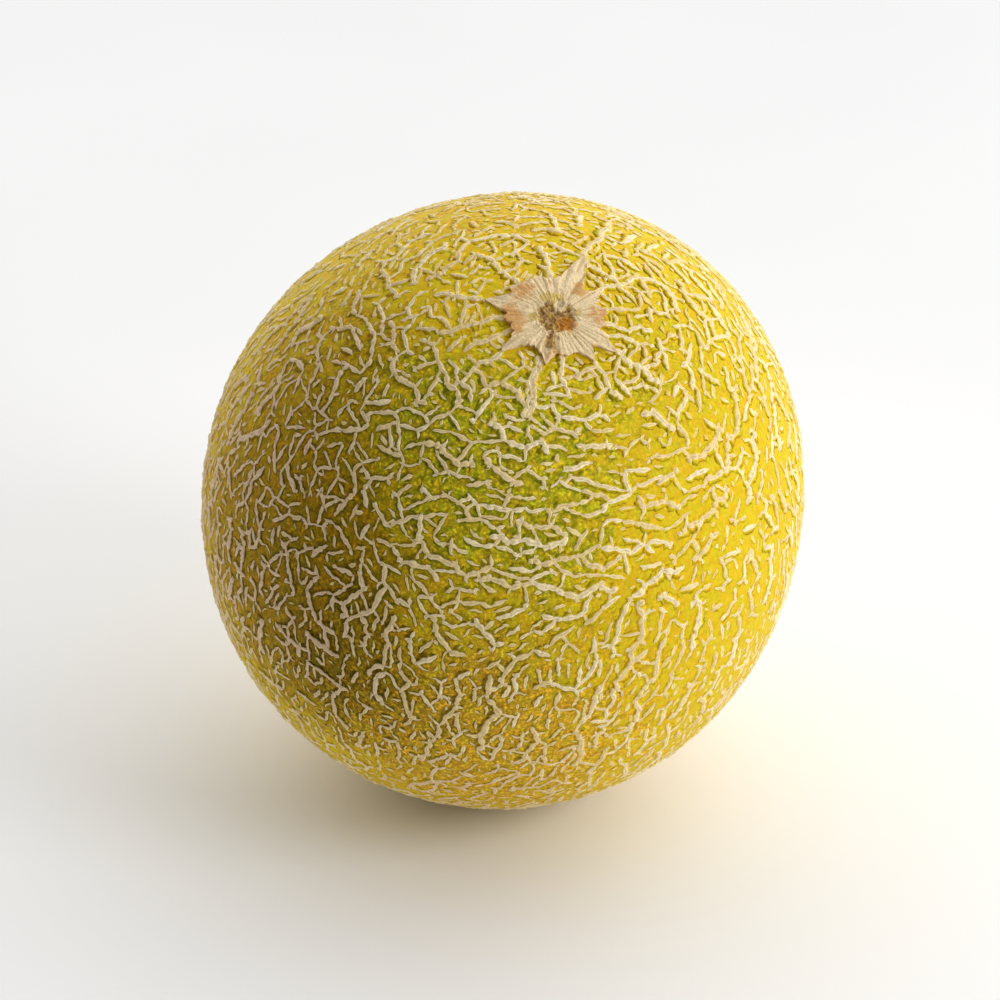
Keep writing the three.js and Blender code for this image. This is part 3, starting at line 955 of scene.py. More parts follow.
def skin_colour_group(mottle):
    """The skin's colour and relief at a place, from the share of each broad colour area there."""
    tree, nodes, given, result = shader_group(
        "skin_colour",
        [("Place", "Vector"), *((name.capitalize(), "Float") for name in SKIN_AREAS)],
        [("Colour", "Color"), ("Height", "Float"), ("Fine", "Float")],
    )
    place = given["Place"]

    def patch(size, low, high, shift):
        moved = nodes.vector("ADD", place, (shift, 0.0, 0.0))
        return nodes.group(mottle, {"Place": moved, "Size": size, "Low": low, "High": high})["Patch"]

    def area(name, low, high):
        return nodes.rise(nodes.plus(given[name], broken), low, high)

    broken = nodes.times(nodes.minus(patch(4.5, 0.30, 0.70, 80), 0.5), 0.5)
    amber = area("Amber", 0.1, 0.8)
    ochre = area("Ochre", 0.1, 0.8)
    green = area("Green", 0.15, 0.85)
    light = GOLD
    dark = GOLD_DARK
    tints = ((amber, AMBER, AMBER_DARK), (ochre, OCHRE, OCHRE_DARK), (green, LEAF, LEAF_DARK))
    for share, pale, full in tints:
        light = nodes.blend(share, light, pale)
        dark = nodes.blend(share, dark, full)
    cells = nodes.noise(place, SKIN_CELL, detail=1, roughness=0.4)
    base = nodes.blend(nodes.rise(cells, 0.34, 0.64), dark, light)
    warmth = nodes.plus(nodes.times(nodes.noise(place, SKIN_SPOT, detail=1), 0.6), 0.2)
    warmth = nodes.times(nodes.plus(warmth, patch(2.4, 0.3, 0.7, 40)), 0.5)
    cool = nodes.blend(green, COOL, COOL_GREEN)
    hue = nodes.blend(nodes.rise(warmth, 0.3, 0.7), cool, WARM)
    base = nodes.tint(base, hue)
    fine = nodes.noise(place, SKIN_SPECK, detail=3, roughness=0.6)
    deep = given["Deep"]
    contrast = nodes.plus(nodes.times(green, GREEN_CONTRAST), nodes.times(amber, AMBER_CONTRAST))
    contrast = nodes.plus(contrast, nodes.times(deep, DEEP_CONTRAST))
    darkest = nodes.minus(0.95, nodes.times(contrast, SHADE_SWING))
    lightest = nodes.plus(1.05, nodes.times(contrast, SPECK_SWING))
    shade = nodes.rise(fine, 0.39, 0.49, darkest, 1.0)
    speck = nodes.rise(fine, 0.54, 0.62, 1.0, lightest)
    # The deep share darkens the skin: partly its own tone, partly painted shade of the dim side.
    tone = nodes.times(nodes.times(shade, speck), nodes.minus(1.0, deep))
    nodes.put(result["Colour"], nodes.tint(base, tone))
    nodes.put(result["Height"], nodes.plus(fine, nodes.times(cells, 2.0)))
    nodes.put(result["Fine"], fine)
    return tree


def skin_here(nodes, skin_colour, place):
    """The skin's colour where a piece keeps the shares of the colour areas."""
    inputs = {"Place": place}
    for name in SKIN_AREAS:
        inputs[name.capitalize()] = nodes.read(name)
    return nodes.group(skin_colour, inputs)


def skin_finish(skin_colour):
    material, nodes, shader, place = new_finish("skin", LIVE_SPECULAR)
    skin = skin_here(nodes, skin_colour, place)
    nodes.put(shader.inputs["Base Color"], skin["Colour"])
    nodes.put(shader.inputs["Roughness"], nodes.rise(skin["Fine"], 0.3, 0.7, 0.62, 0.5))
    roughen(nodes, shader, nodes.times(skin["Height"], SKIN_RELIEF), 1.0)
    return material


def cork_finish(cork_grain, skin_colour):
    """Cork of the strands, with a painted highlight along the rims, over a skirt in the skin's colour
    with painted shade near the strand in the dim areas and painted light there in the bright ones.
    """
    material, nodes, shader, place = new_finish("cork_net", LIVE_SPECULAR)
    grain_out = nodes.group(cork_grain, {"Place": place})
    skin = skin_here(nodes, skin_colour, place)
    across = nodes.math("ABSOLUTE", nodes.read("across"))
    tone = nodes.read("tone")
    broken = nodes.noise(place, 1.1, detail=2)
    base = nodes.blend(nodes.rise(nodes.plus(tone, broken), 0.7, 1.3), CORK, CORK_PALE)
    base = nodes.blend(nodes.rise(nodes.read("brown"), 0.1, 1.0), base, CORK_BROWN)
    base = nodes.blend(nodes.read("young"), base, CORK_YOUNG)
    trough = nodes.times(nodes.rise(across, 0.05, 0.4, 1.0, 0.0), nodes.rise(broken, 0.40, 0.60))
    base = nodes.blend(nodes.times(trough, TROUGH_SHARE), base, CORK_SHADE)
    # Painted highlight: the raised rims are made paler, as where they catch the light.
    rim = nodes.times(nodes.rise(across, 0.35, 0.5), nodes.rise(across, 0.72, 0.84, 1.0, 0.0))
    rim_highlight_tone = nodes.plus(1.0, nodes.times(rim, RIM_HIGHLIGHT))
    side = nodes.rise(nodes.plus(across, nodes.times(broken, 0.2)), 0.60, 0.96)
    # Painted shade on the strands' sides and on the skirt, stronger in the deep and coloured areas.
    areas = nodes.plus(nodes.plus(nodes.read("green"), nodes.read("amber")), nodes.read("ochre"))
    shade_share = nodes.plus(nodes.read("deep"), nodes.times(areas, AREA_PAINTED_SHADE))
    shading = nodes.plus(nodes.times(shade_share, 0.8), 0.1)
    base = nodes.blend(nodes.times(side, shading), base, CORK_SHADE)
    # Painted shade: the cork is darker where the skin's deeper tone is.
    deep = nodes.minus(1.0, nodes.times(nodes.read("deep"), CORK_PAINTED_SHADE))
    cork_tone = nodes.times(nodes.times(grain_out["Tone"], deep), rim_highlight_tone)
    base = nodes.tint(base, cork_tone)
    # Painted shade on the skirt beside each strand in the dim areas, and painted light there in the bright
    # areas.
    skirt_light_and_shade = nodes.blend(nodes.rise(shade_share, 0.05, 0.45), SKIRT_PAINTED_LIGHT, SKIRT_PAINTED_SHADE)
    skirt_light_and_shade = nodes.blend(nodes.rise(across, 1.1, 2.3), skirt_light_and_shade, colour(1, 1, 1))
    skirt = nodes.rise(across, 0.84, 0.94)
    base = nodes.blend(skirt, base, nodes.tint(skin["Colour"], skirt_light_and_shade))
    nodes.put(shader.inputs["Base Color"], base)
    nodes.put(shader.inputs["Roughness"], nodes.rise(skirt, 0.0, 1.0, 0.85, 0.58))
    cork_height = nodes.times(nodes.minus(1.0, skirt), grain_out["Height"])
    skin_height = nodes.times(skirt, skin["Height"])
    height = nodes.plus(nodes.times(cork_height, CORK_RELIEF), nodes.times(skin_height, SKIN_RELIEF))
    roughen(nodes, shader, height, 1.0)
    return material


def scar_finish(cork_grain):
    """The stalk scar: cream fibres, brown patches at the rim, a dark rough pit."""
    material, nodes, shader, place = new_finish("stalk_scar", DRY_SPECULAR, DRY_ROUGHNESS)
    grain_out = nodes.group(cork_grain, {"Place": place})
    base = nodes.blend(nodes.rise(nodes.read("fibre"), -0.3, -2.0), SCAR_CREAM, SCAR_FIBRE)
    worn = nodes.rise(nodes.noise(place, 1.8, detail=3), 0.50, 0.66, 0.0, 0.55)
    base = nodes.blend(worn, base, SCAR_FIBRE)
    broken = nodes.times(nodes.minus(nodes.noise(place, 1.3, detail=3), 0.5), 1.4)
    patch = nodes.rise(nodes.plus(nodes.read("patch"), broken), 0.25, 0.8)
    base = nodes.blend(nodes.times(patch, 0.8), base, SCAR_BROWN)
    green = nodes.rise(nodes.plus(nodes.read("green"), broken), 0.3, 0.8)
    base = nodes.blend(nodes.times(green, 0.8), base, SCAR_GREEN)
    pit = nodes.rise(nodes.plus(nodes.read("pit"), nodes.times(broken, 0.9)), 0.3, 0.9)
    lump = nodes.plus(nodes.read("lump"), nodes.times(broken, 0.6))
    crumbly = nodes.blend(nodes.rise(lump, -0.6, 0.2), SCAR_PIT_DARK, SCAR_PIT)
    crumbly = nodes.blend(nodes.rise(lump, 0.8, 1.3), crumbly, SCAR_CRUMB)
    olive = nodes.rise(nodes.noise(nodes.vector("ADD", place, (30.0, 0.0, 0.0)), 1.8, detail=2), 0.54, 0.64)
    crumbly = nodes.blend(nodes.times(olive, 0.6), crumbly, SCAR_GREEN)
    crumbly = nodes.blend(nodes.rise(nodes.read("flake"), 0.35, 0.7), crumbly, SCAR_CREAM)
    base = nodes.blend(pit, base, crumbly)
    rust = nodes.rise(nodes.plus(nodes.read("rust"), nodes.times(broken, 0.8)), 0.3, 0.95)
    base = nodes.blend(nodes.times(rust, 0.8), base, SCAR_RUST)
    nodes.put(shader.inputs["Base Color"], nodes.tint(base, grain_out["Tone"]))
    roughen(nodes, shader, grain_out["Height"], SCAR_RELIEF)
    return material


def flower_finish(cork_grain):
    """The flower scar: brown cork in the dish, paler on the ring."""
    material, nodes, shader, place = new_finish("flower_scar", DRY_SPECULAR, DRY_ROUGHNESS)
    grain_out = nodes.group(cork_grain, {"Place": place})
    base = nodes.blend(nodes.rise(nodes.read("ring"), 0.2, 0.8), SCAR_BROWN, CORK)
    base = nodes.blend(nodes.rise(nodes.read("fibre"), -0.2, -1.6, 0.0, 0.7), base, SCAR_FIBRE)
    nodes.put(shader.inputs["Base Color"], nodes.tint(base, grain_out["Tone"]))
    roughen(nodes, shader, grain_out["Height"], SCAR_RELIEF)
    return material


def floor_finish():
    material, nodes, shader, place = new_finish("floor", DRY_SPECULAR, FLOOR_ROUGHNESS)
    faint = nodes.rise(nodes.noise(place, 160, detail=2), 0.3, 0.7, 0.95, 0.97)
    nodes.put(shader.inputs["Base Color"], nodes.tint(colour(1, 1, 1), faint))
    return material


# Meshes.
def new_object(name, data):
    made = bpy.data.objects.new(name, data)
    bpy.context.scene.collection.objects.link(made)
    return made


def keep_values(mesh, name, values):
    """Keeps one number at each point of a mesh."""
    kept = mesh.attributes.new(name, "FLOAT", "POINT")
    kept.data.foreach_set("value", np.asarray(values, np.float32).ravel())


def end_tree(nodes, shape, finish, output):
    """Smooth shading, the finish, and real geometry at the end of a tree."""
    smoothed = nodes.geometry("SetShadeSmooth", {0: shape})
    real = nodes.geometry("RealizeInstances", {0: smoothed})
    nodes.put(output[0], nodes.geometry("SetMaterial", {0: real, "Material": finish}))


def grown(name, mesh, tree, values):
    """The plain mesh that a tree makes from a mesh, with its named inputs set."""
    piece = new_object(name, mesh)
    modifier = piece.modifiers.new("shape", "NODES")
    modifier.node_group = tree
    for item in tree.interface.items_tree:
        if item.in_out == "INPUT" and item.name in values:
            modifier[item.identifier] = values[item.name]
    seen = piece.evaluated_get(bpy.context.evaluated_depsgraph_get())
    shape = bpy.data.meshes.new_from_object(seen)
    piece.modifiers.remove(modifier)
    piece.data = shape
    shape.name = name
    return piece


def above_ground(nodes, shape, lowest):
    """Lifts what would reach below the ground up to it."""
    place = nodes.geometry("InputPosition")
    parts = nodes.add("ShaderNodeSeparateXYZ", {0: place}).outputs
    height = nodes.math("MAXIMUM", parts["Z"], lowest)
    moved = nodes.add("ShaderNodeCombineXYZ", {"X": parts["X"], "Y": parts["Y"], "Z": height}).outputs[0]
    return nodes.place(shape, moved)


def skin_tree():
    """The body: a cube's faces blown up to a ball, with its waves, the basin and the resting spot."""
    tree, nodes, given, output = shape_tree(
        "body",
        [
            ("Mean radius", "Float"),
            ("Basin depth", "Float"),
            ("Basin radius", "Float"),
            ("Scar sink", "Float"),
            ("Points along an edge", "Int"),
            ("Finish", "Material"),
        ],
    )
    count = given["Points along an edge"]
    sides = {"Size": (2.0, 2.0, 2.0), "Vertices X": count, "Vertices Y": count, "Vertices Z": count}
    cube = nodes.geometry("MeshCube", sides)
    corner = nodes.geometry("InputPosition")
    even = nodes.vector("TANGENT", nodes.scale(corner, math.pi / 4))
    out = nodes.vector("NORMALIZE", even)
    right, up = (nodes.dot(out, tuple(axis)) for axis in VIEW_AXES[:2])
    across = nodes.math("SQRT", nodes.plus(nodes.math("POWER", right, 2.0), nodes.math("POWER", up, 2.0)))
    angle = nodes.math("ARCTAN2", up, right)
    share = 1.0
    for waves, depth, phase in OUTLINE_WAVES:
        turned = nodes.minus(nodes.times(angle, waves), waves * phase * RAD)
        swell = nodes.times(nodes.math("POWER", across, waves), nodes.math("COSINE", turned))
        share = nodes.plus(share, nodes.times(swell, depth))
    radius = nodes.times(share, given["Mean radius"])
    along_stalk = nodes.math("MINIMUM", nodes.dot(out, tuple(STALK_AXES[2])), 1.0)
    far = nodes.times(nodes.math("ARCCOSINE", along_stalk), given["Mean radius"])
    bowl = nodes.math("POWER", nodes.math("DIVIDE", far, given["Basin radius"]), 2.0)
    bowl = nodes.math("EXPONENT", nodes.times(bowl, -1.0))
    radius = nodes.minus(radius, nodes.times(bowl, given["Basin depth"]))
    under = nodes.rise(far, SCAR_SINK_FROM * MM, SCAR_SINK_TO * MM, 1.0, 0.0)
    radius = nodes.minus(radius, nodes.times(under, given["Scar sink"]))
    middle = tuple(v * MM for v in BODY_CENTRE)
    place = nodes.vector("ADD", nodes.scale(out, radius), middle)
    ball = nodes.place(cube, place)
    end_tree(nodes, above_ground(nodes, ball, 0.0), given["Finish"], output)
    return tree


def area_values(directions, areas):
    """How strongly each direction, as the viewer sees it, lies in the given round areas."""
    total = np.zeros(len(directions))
    for middle, radius, strength in areas:
        off = np.arccos(np.clip(directions @ unit(middle), -1, 1)) * BODY_RADIUS
        total += strength * np.exp(-((off / radius) ** 2))
    return total


def keep_areas(mesh, seen):
    """Keeps the shares of the skin's broad colour areas at each point."""
    for name, areas in SKIN_AREAS.items():
        keep_values(mesh, name, area_values(seen, areas))


def make_skin(finish):
    values = {
        "Mean radius": BODY_RADIUS * MM,
        "Basin depth": BASIN_DEPTH * MM,
        "Basin radius": BASIN_RADIUS * MM,
        "Scar sink": SCAR_SINK * MM,
        "Points along an edge": SKIN_FACES + 1,
        "Finish": finish,
    }
    skin = grown("skin", bpy.data.meshes.new("seed"), skin_tree(), values)
    points = np.zeros(len(skin.data.vertices) * 3)
    skin.data.vertices.foreach_get("co", points)
    out = points.reshape(-1, 3) / MM - np.array(BODY_CENTRE)
    seen = out / np.linalg.norm(out, axis=1)[:, None] @ VIEW_AXES.T
    keep_areas(skin.data, seen)
    return skin


def strand_widths(line, rnd):
    """Width at each point of a strand: fullest between its bends, thin at its free ends."""
    last = len(line["points"]) - 1
    marks = [0, *(i for i in range(1, last) if line["bends"][i]), last]
    widths = [0.0] * (last + 1)
    full_width = line["width"] * (COARSE_SLIM if line["kind"] == "strand" else 1)
    taper = END_TAPER if last > 2 else last * NET_STEP
    tip = FLECK_END_WIDTH if line["kind"] == "fleck" else END_WIDTH
    for lo, hi in zip(marks, marks[1:]):
        for i in range(lo, hi + 1):
            full = math.sin(math.pi * (i - lo) / (hi - lo))
            widths[i] = full_width * (1 - BEND_NARROWING * (1 - full))
    for i in range(last + 1):
        start = 1 if line["joined"][0] else min(1, tip + i * NET_STEP / taper)
        end = 1 if line["joined"][1] else min(1, tip + (last - i) * NET_STEP / taper)
        widths[i] *= min(start, end) * (1 + WIDTH_NOISE * (2 * rnd() - 1))
    return np.array(widths)


def halved(values):
    """A row of values with one more between each two."""
    fine = np.zeros((2 * len(values) - 1, *values.shape[1:]))
    fine[::2] = values
    fine[1::2] = 0.5 * (values[:-1] + values[1:])
    return fine


def strips(line):
    """A strand, or the narrow strands side by side that a broad one is made of."""
    if line["width"] < BROAD_STRAND:
        return [line]
    width = line["width"] * BAND_STRIP_WIDTH
    middle = (BAND_STRIPS - 1) / 2
    pitch = (line["width"] - width) / (BAND_STRIPS - 1)
    return [{**line, "width": width, "shift": pitch * (k - middle)} for k in range(BAND_STRIPS)]


def strand_path(line, rnd, halve):
    """The strand's directions, a little rounded at its bends, halved where asked, and wandering sideways."""
    points = np.array(line["points"])
    beside = points[:-2] + points[2:]
    points[1:-1] = (1 - 2 * BEND_ROUNDING) * points[1:-1] + BEND_ROUNDING * beside
    if halve:
        points = halved(points)
    points /= np.linalg.norm(points, axis=1)[:, None]
    steps = np.gradient(points, axis=0)
    sideways = np.cross(points, steps)
    sideways /= np.linalg.norm(sideways, axis=1)[:, None] + 1e-12
    every = WANDER_STEP / (NET_STEP / 2 if halve else NET_STEP)
    places = np.arange(0, len(points) + every, every)
    shift = np.interp(np.arange(len(points)), places, [2 * rnd() - 1 for _ in places])
    shift[[0, -1]] = 0
    shift = WANDER * shift + line.get("shift", 0)
    points += sideways * (shift / BODY_RADIUS)[:, None]
    return points / np.linalg.norm(points, axis=1)[:, None]


def chain_mesh(name, lines, rnd, halve):
    """The strands as chains of edges on the skin, with what their cross sections need at each point."""
    directions = []
    widths = []
    tones = []
    ages = []
    edges = []
    first = 0
    for line in lines:
        path = strand_path(line, rnd, halve)
        width = strand_widths(line, rnd)
        directions.append(path)
        widths.append(halved(width) if halve else width)
        tones += [rnd()] * len(path)
        ages += [YOUNG[line["kind"]]] * len(path)
        edges += [(i, i + 1) for i in range(first, first + len(path) - 1)]
        first += len(path)
    directions = np.concatenate(directions)
    mesh = bpy.data.meshes.new(name)
    mesh.from_pydata(on_skin(directions, np.zeros(len(directions))).tolist(), edges, [])
    keep_values(mesh, "width", np.concatenate(widths) * MM)
    keep_values(mesh, "tone", tones)
    keep_values(mesh, "young", ages)
    seen = to_world(directions) @ VIEW_AXES.T
    keep_areas(mesh, seen)
    keep_values(mesh, "brown", area_values(seen, BROWN_AREAS))
    outward = mesh.attributes.new("outward", "FLOAT_VECTOR", "POINT")
    outward.data.foreach_set("vector", to_world(directions).astype(np.float32).ravel())
    return mesh


def strand_profile(nodes, corners):
    """A closed curve through a cross section's corners. Each point keeps how far off the middle it is."""
    line = nodes.geometry("CurvePrimitiveLine", {"Start": (0.0, -0.5, 0.0), "End": (0.0, 0.5, 0.0)})
    row = nodes.geometry("ResampleCurve", {"Curve": line, "Count": len(corners)})
    corner = nodes.add("GeometryNodeIndexSwitch", data_type="VECTOR")
    while len(corner.index_switch_items) < len(corners):
        corner.index_switch_items.new()
    nodes.put(corner.inputs[0], nodes.geometry("InputIndex"))
    for i, (sideways, height) in enumerate(corners):
        corner.inputs[i + 1].default_value = (height, sideways / 2, 0.0)
    side = nodes.times(nodes.add("ShaderNodeSeparateXYZ", {0: corner.outputs[0]}).outputs["Y"], 2.0)
    kept = {"Geometry": row, "Name": "across", "Value": side}
    marked = nodes.geometry("StoreNamedAttribute", kept, data_type="FLOAT")
    raised = nodes.place(marked, corner.outputs[0])
    return nodes.geometry("SetSplineCyclic", {"Geometry": raised, "Cyclic": True})


def strand_tree(name, corners):
    """Ridges along the chains of a mesh, each as wide as its points say, with ragged sides."""
    tree, nodes, given, output = shape_tree(
        name,
        [
            ("Ragged", "Float"),
            ("Ragged size", "Float"),
            ("Ground clearance", "Float"),
            ("Finish", "Material"),
        ],
    )

    def kept(attribute, kind):
        node = nodes.add("GeometryNodeInputNamedAttribute", {"Name": attribute}, data_type=kind)
        return node.outputs["Attribute"]

    path = nodes.geometry("MeshToCurve", {0: given["Geometry"]})
    outward = kept("outward", "FLOAT_VECTOR")
    upright = nodes.geometry("SetCurveNormal", {"Curve": path, "Normal": outward}, mode="FREE")
    profile = strand_profile(nodes, corners)
    sweep = {"Curve": upright, "Profile Curve": profile, "Scale": kept("width", "FLOAT"), "Fill Caps": True}
    ridge = nodes.geometry("CurveToMesh", sweep)
    position = nodes.geometry("InputPosition")
    fineness = nodes.math("DIVIDE", 1.0, given["Ragged size"])
    inputs = {"Vector": position, "Scale": fineness, "Detail": 1.0}
    wobble = nodes.add("ShaderNodeTexNoise", inputs).outputs[1]
    offset = nodes.scale(nodes.vector("SUBTRACT", wobble, (0.5, 0.5, 0.5)), given["Ragged"])
    low_down = nodes.rise(nodes.math("ABSOLUTE", kept("across", "FLOAT")), 0.62, 0.94)
    lift = nodes.scale(outward, nodes.times(nodes.dot(offset, outward), low_down))
    level = nodes.vector("SUBTRACT", offset, lift)
    rough = nodes.geometry("SetPosition", {"Geometry": ridge, "Offset": level})
    grounded = above_ground(nodes, rough, given["Ground clearance"])
    end_tree(nodes, grounded, given["Finish"], output)
    return tree


def make_net(finish):
    """The net in pieces: coarse strands, fill strands, twigs, and the dashes with the flecks."""
    net = grow_net()
    ridge = strand_tree("strands", STRAND_PROFILE)
    low_ridge = strand_tree("flecks", FLECK_PROFILE)
    values = {
        "Ragged": RAGGED * MM,
        "Ragged size": RAGGED_SIZE * MM,
        "Ground clearance": GROUND_CLEARANCE * MM,
        "Finish": finish,
    }
    rnd = stream(FINE_SEED + 1)
    pieces = []
    for name, kinds, parts, halve, tree in (
        ("net_strands", ("strand",), 2, True, ridge),
        ("net_fill", ("fill",), 2, False, ridge),
        ("net_twigs", ("twig",), 1, False, ridge),
        ("net_flecks", ("spur", "dash", "fleck"), 2, False, low_ridge),
    ):
        lines = [strip for line in net.lines if line["kind"] in kinds for strip in strips(line)]
        for part in range(parts):
            piece_name = f"{name}_{part + 1}"
            chains = chain_mesh(piece_name, lines[part::parts], rnd, halve)
            pieces.append(grown(piece_name, chains, tree, values))
    return pieces


# Scars.
def ripples(rnd, azimuth, radius, lowest, highest, count, twist):
    """Waves round the middle that wander a little as they run outward. About 1 high."""
    total = np.zeros(np.broadcast(azimuth, radius).shape)
    for _ in range(count):
        waves = round(between((lowest, highest), rnd()))
        phase = 2 * math.pi * rnd()
        lean = twist * (2 * rnd() - 1)
        total += np.sin(waves * azimuth + phase + lean * radius)
    return total / math.sqrt(count / 2)


def crumbs(rnd, x, y, size, count):
    """Uneven lumps of about one size. About 1 high."""
    total = np.zeros(np.broadcast(x, y).shape)
    for _ in range(count):
        heading = 2 * math.pi * rnd()
        waves = 2 * math.pi / (size * between((0.6, 1.8), rnd()))
        phase = 2 * math.pi * rnd()
        total += np.sin(waves * (x * math.cos(heading) + y * math.sin(heading)) + phase)
    return total / math.sqrt(count / 2)


def ring_mesh(name, rings, middle, underneath):
    """A closed mesh of rings of points round a middle point and a point underneath."""
    rows, columns = rings.shape[:2]
    points = [middle, *rings.reshape(-1, 3), underneath]
    faces = []
    for k in range(columns):
        after = (k + 1) % columns
        faces.append((0, 1 + k, 1 + after))
        for row in range(rows - 1):
            inner = 1 + row * columns
            outer = inner + columns
            faces.append((inner + k, outer + k, outer + after, inner + after))
        edge = 1 + (rows - 1) * columns
        faces.append((edge + k, len(points) - 1, edge + after))
    mesh = bpy.data.meshes.new(name)
    mesh.from_pydata([tuple(p) for p in points], [], faces)
    mesh.polygons.foreach_set("use_smooth", [True] * len(faces))
    return mesh


def near_azimuth(azimuth, at, half):
    """1 at an azimuth, falling to 0 at half a width away. All in degrees."""
    off = np.abs((azimuth - at + 900) % 360 - 180) / half
    return np.clip(1 - off, 0, 1)


def off_arms(radius):
    """1 within the plate's rim, falling to 0 farther out, where only the arms reach."""
    return 1 - smooth(SCAR_RIM + 1, SCAR_RIM + 4, radius)


def plate_top(radius, edge):
    """Height of the plate's top over the skin, as in the solid."""
    bowl = smooth(CRATER_FLOOR, CRATER_RADIUS, radius)
    arm = np.minimum(1, (edge - SCAR_RIM) / SCAR_LONG_ARM)
    thinning = (SCAR_PLATE - SCAR_TIP_PLATE) * arm * smooth(SCAR_RIM - 1, edge, radius)
    return (SCAR_PLATE - thinning) * bowl + CRATER_BOTTOM * (1 - bowl)


def scar_relief(azimuth, radius, edge):
    """Height of the stalk scar with its folds, fibres, lip and crumbly pit, and its colour masks."""
    rnd = stream(SCAR_SEED)
    x = radius * np.cos(azimuth)
    y = radius * np.sin(azimuth)
    torn = 0.5 * ripples(rnd, azimuth, radius * 0, 3, 14, 8, 0.0)
    radius_in = radius - torn
    folds = ripples(rnd, azimuth, radius, 9, 26, 9, 0.08)
    folds = folds * (0.65 + 0.35 * ripples(rnd, azimuth, 0 * radius, 2, 5, 4, 0.0))
    fibre = ripples(rnd, azimuth, radius, 28, 80, 26, 0.6)
    lumps = np.tanh(1.6 * crumbs(rnd, x, y, LUMP_SIZE, 18))
    grit = crumbs(rnd, x, y, GRIT_SIZE, 16)
    flake = np.exp(-(((x - FLAKE_AT[0]) ** 2 + (y - FLAKE_AT[1]) ** 2) / FLAKE_SIZE**2))
    share = radius / edge
    plate = smooth(CRATER_FLOOR + 0.8, CRATER_RADIUS + 1.4, radius_in)
    height = plate_top(np.maximum(radius_in, 0), edge)
    outer = 1 + 0.8 * smooth(0.5, 0.85, share)
    waves = plate * (FOLD_DEPTH * outer * folds + FIBRE_DEPTH * fibre)
    height = height + waves * (1 - smooth(0.93, 1.0, share))
    height = height + (1 - plate) * (LUMP_DEPTH * lumps + PIT_GRIT_DEPTH * grit)
    height = height + GRIT_DEPTH * grit + FLAKE_RISE * smooth(0.35, 0.6, flake)
    lip = LIP_LEAST + (1 - LIP_LEAST) * near_azimuth(azimuth / RAD, LIP_AZIMUTH, LIP_HALF)
    height = height + LIP_RISE * lip * smooth(0.7, 0.97, share) * off_arms(edge)
    turn = azimuth / RAD
    patch = np.zeros(azimuth.shape)
    for at, half, strength in SCAR_PATCHES:
        patch = patch + strength * smooth(0, 0.8, near_azimuth(turn, at, half * 1.5))
    pit = 1 - smooth(CRATER_RADIUS - 1.6, CRATER_RADIUS + 0.4, radius_in)
    torn_side = smooth(0, 1, near_azimuth(turn, TORN_AZIMUTH, TORN_HALF)) * (1 - smooth(8.5, 11, radius_in))
    green = sum(strength * near_azimuth(turn, at, half) for at, half, strength in SCAR_GREEN_SIDES)
    masks = {
        "fibre": fibre,
        "lump": lumps + 0.4 * grit,
        "flake": flake,
        "pit": np.maximum(pit, torn_side),
        "patch": patch * smooth(0.55, 0.95, radius / SCAR_RIM) * off_arms(radius),
        "green": np.exp(-(((radius_in - CRATER_RADIUS - 0.5) / 1.5) ** 2)) * green * (0.8 + 0.35 * fibre),
        "rust": np.exp(-(((x - RUST_AT[0]) ** 2 + (y - RUST_AT[1]) ** 2) / RUST_SIZE**2)),
    }
    return height, masks


def make_stalk_scar(finish):
    columns = np.arange(SCAR_COLUMNS) * (360 / SCAR_COLUMNS)
    azimuth = (columns * RAD)[None, :]
    ragged = ripples(stream(SCAR_SEED + 2), azimuth, 0 * azimuth, 12, 60, 16, 0.0)
    edge = np.array([star_radius(a) for a in columns])[None, :] + SCAR_RAGGED * ragged
    share = (np.arange(1, SCAR_ROWS + 1) / SCAR_ROWS)[:, None]
    height, masks = scar_relief(azimuth + 0 * share, share * edge, edge + 0 * share)
    rings = on_skin(by_stalk(azimuth + 0 * share, share * edge), height)
    foot_radius = edge - SCAR_OVERHANG
    mid = on_skin(by_stalk(azimuth, foot_radius + 0.1), height[-1:] * 0.45)
    foot = on_skin(by_stalk(azimuth, foot_radius), np.full(edge.shape, -SCAR_FOOT))
    rings = np.concatenate([rings, mid, foot])
    underneath = on_axis(1.0, -SCAR_SINK - SCAR_ROOT)
    mesh = ring_mesh("stalk_scar", rings, on_axis(1.0, height[0].mean()), underneath)
    mesh.materials.append(finish)
    for name, values in masks.items():
        rows = np.concatenate([values, values[-1:], values[-1:]])
        keep_values(mesh, name, [values[0].mean(), *rows.ravel(), 0.0])
    return new_object("stalk_scar", mesh)


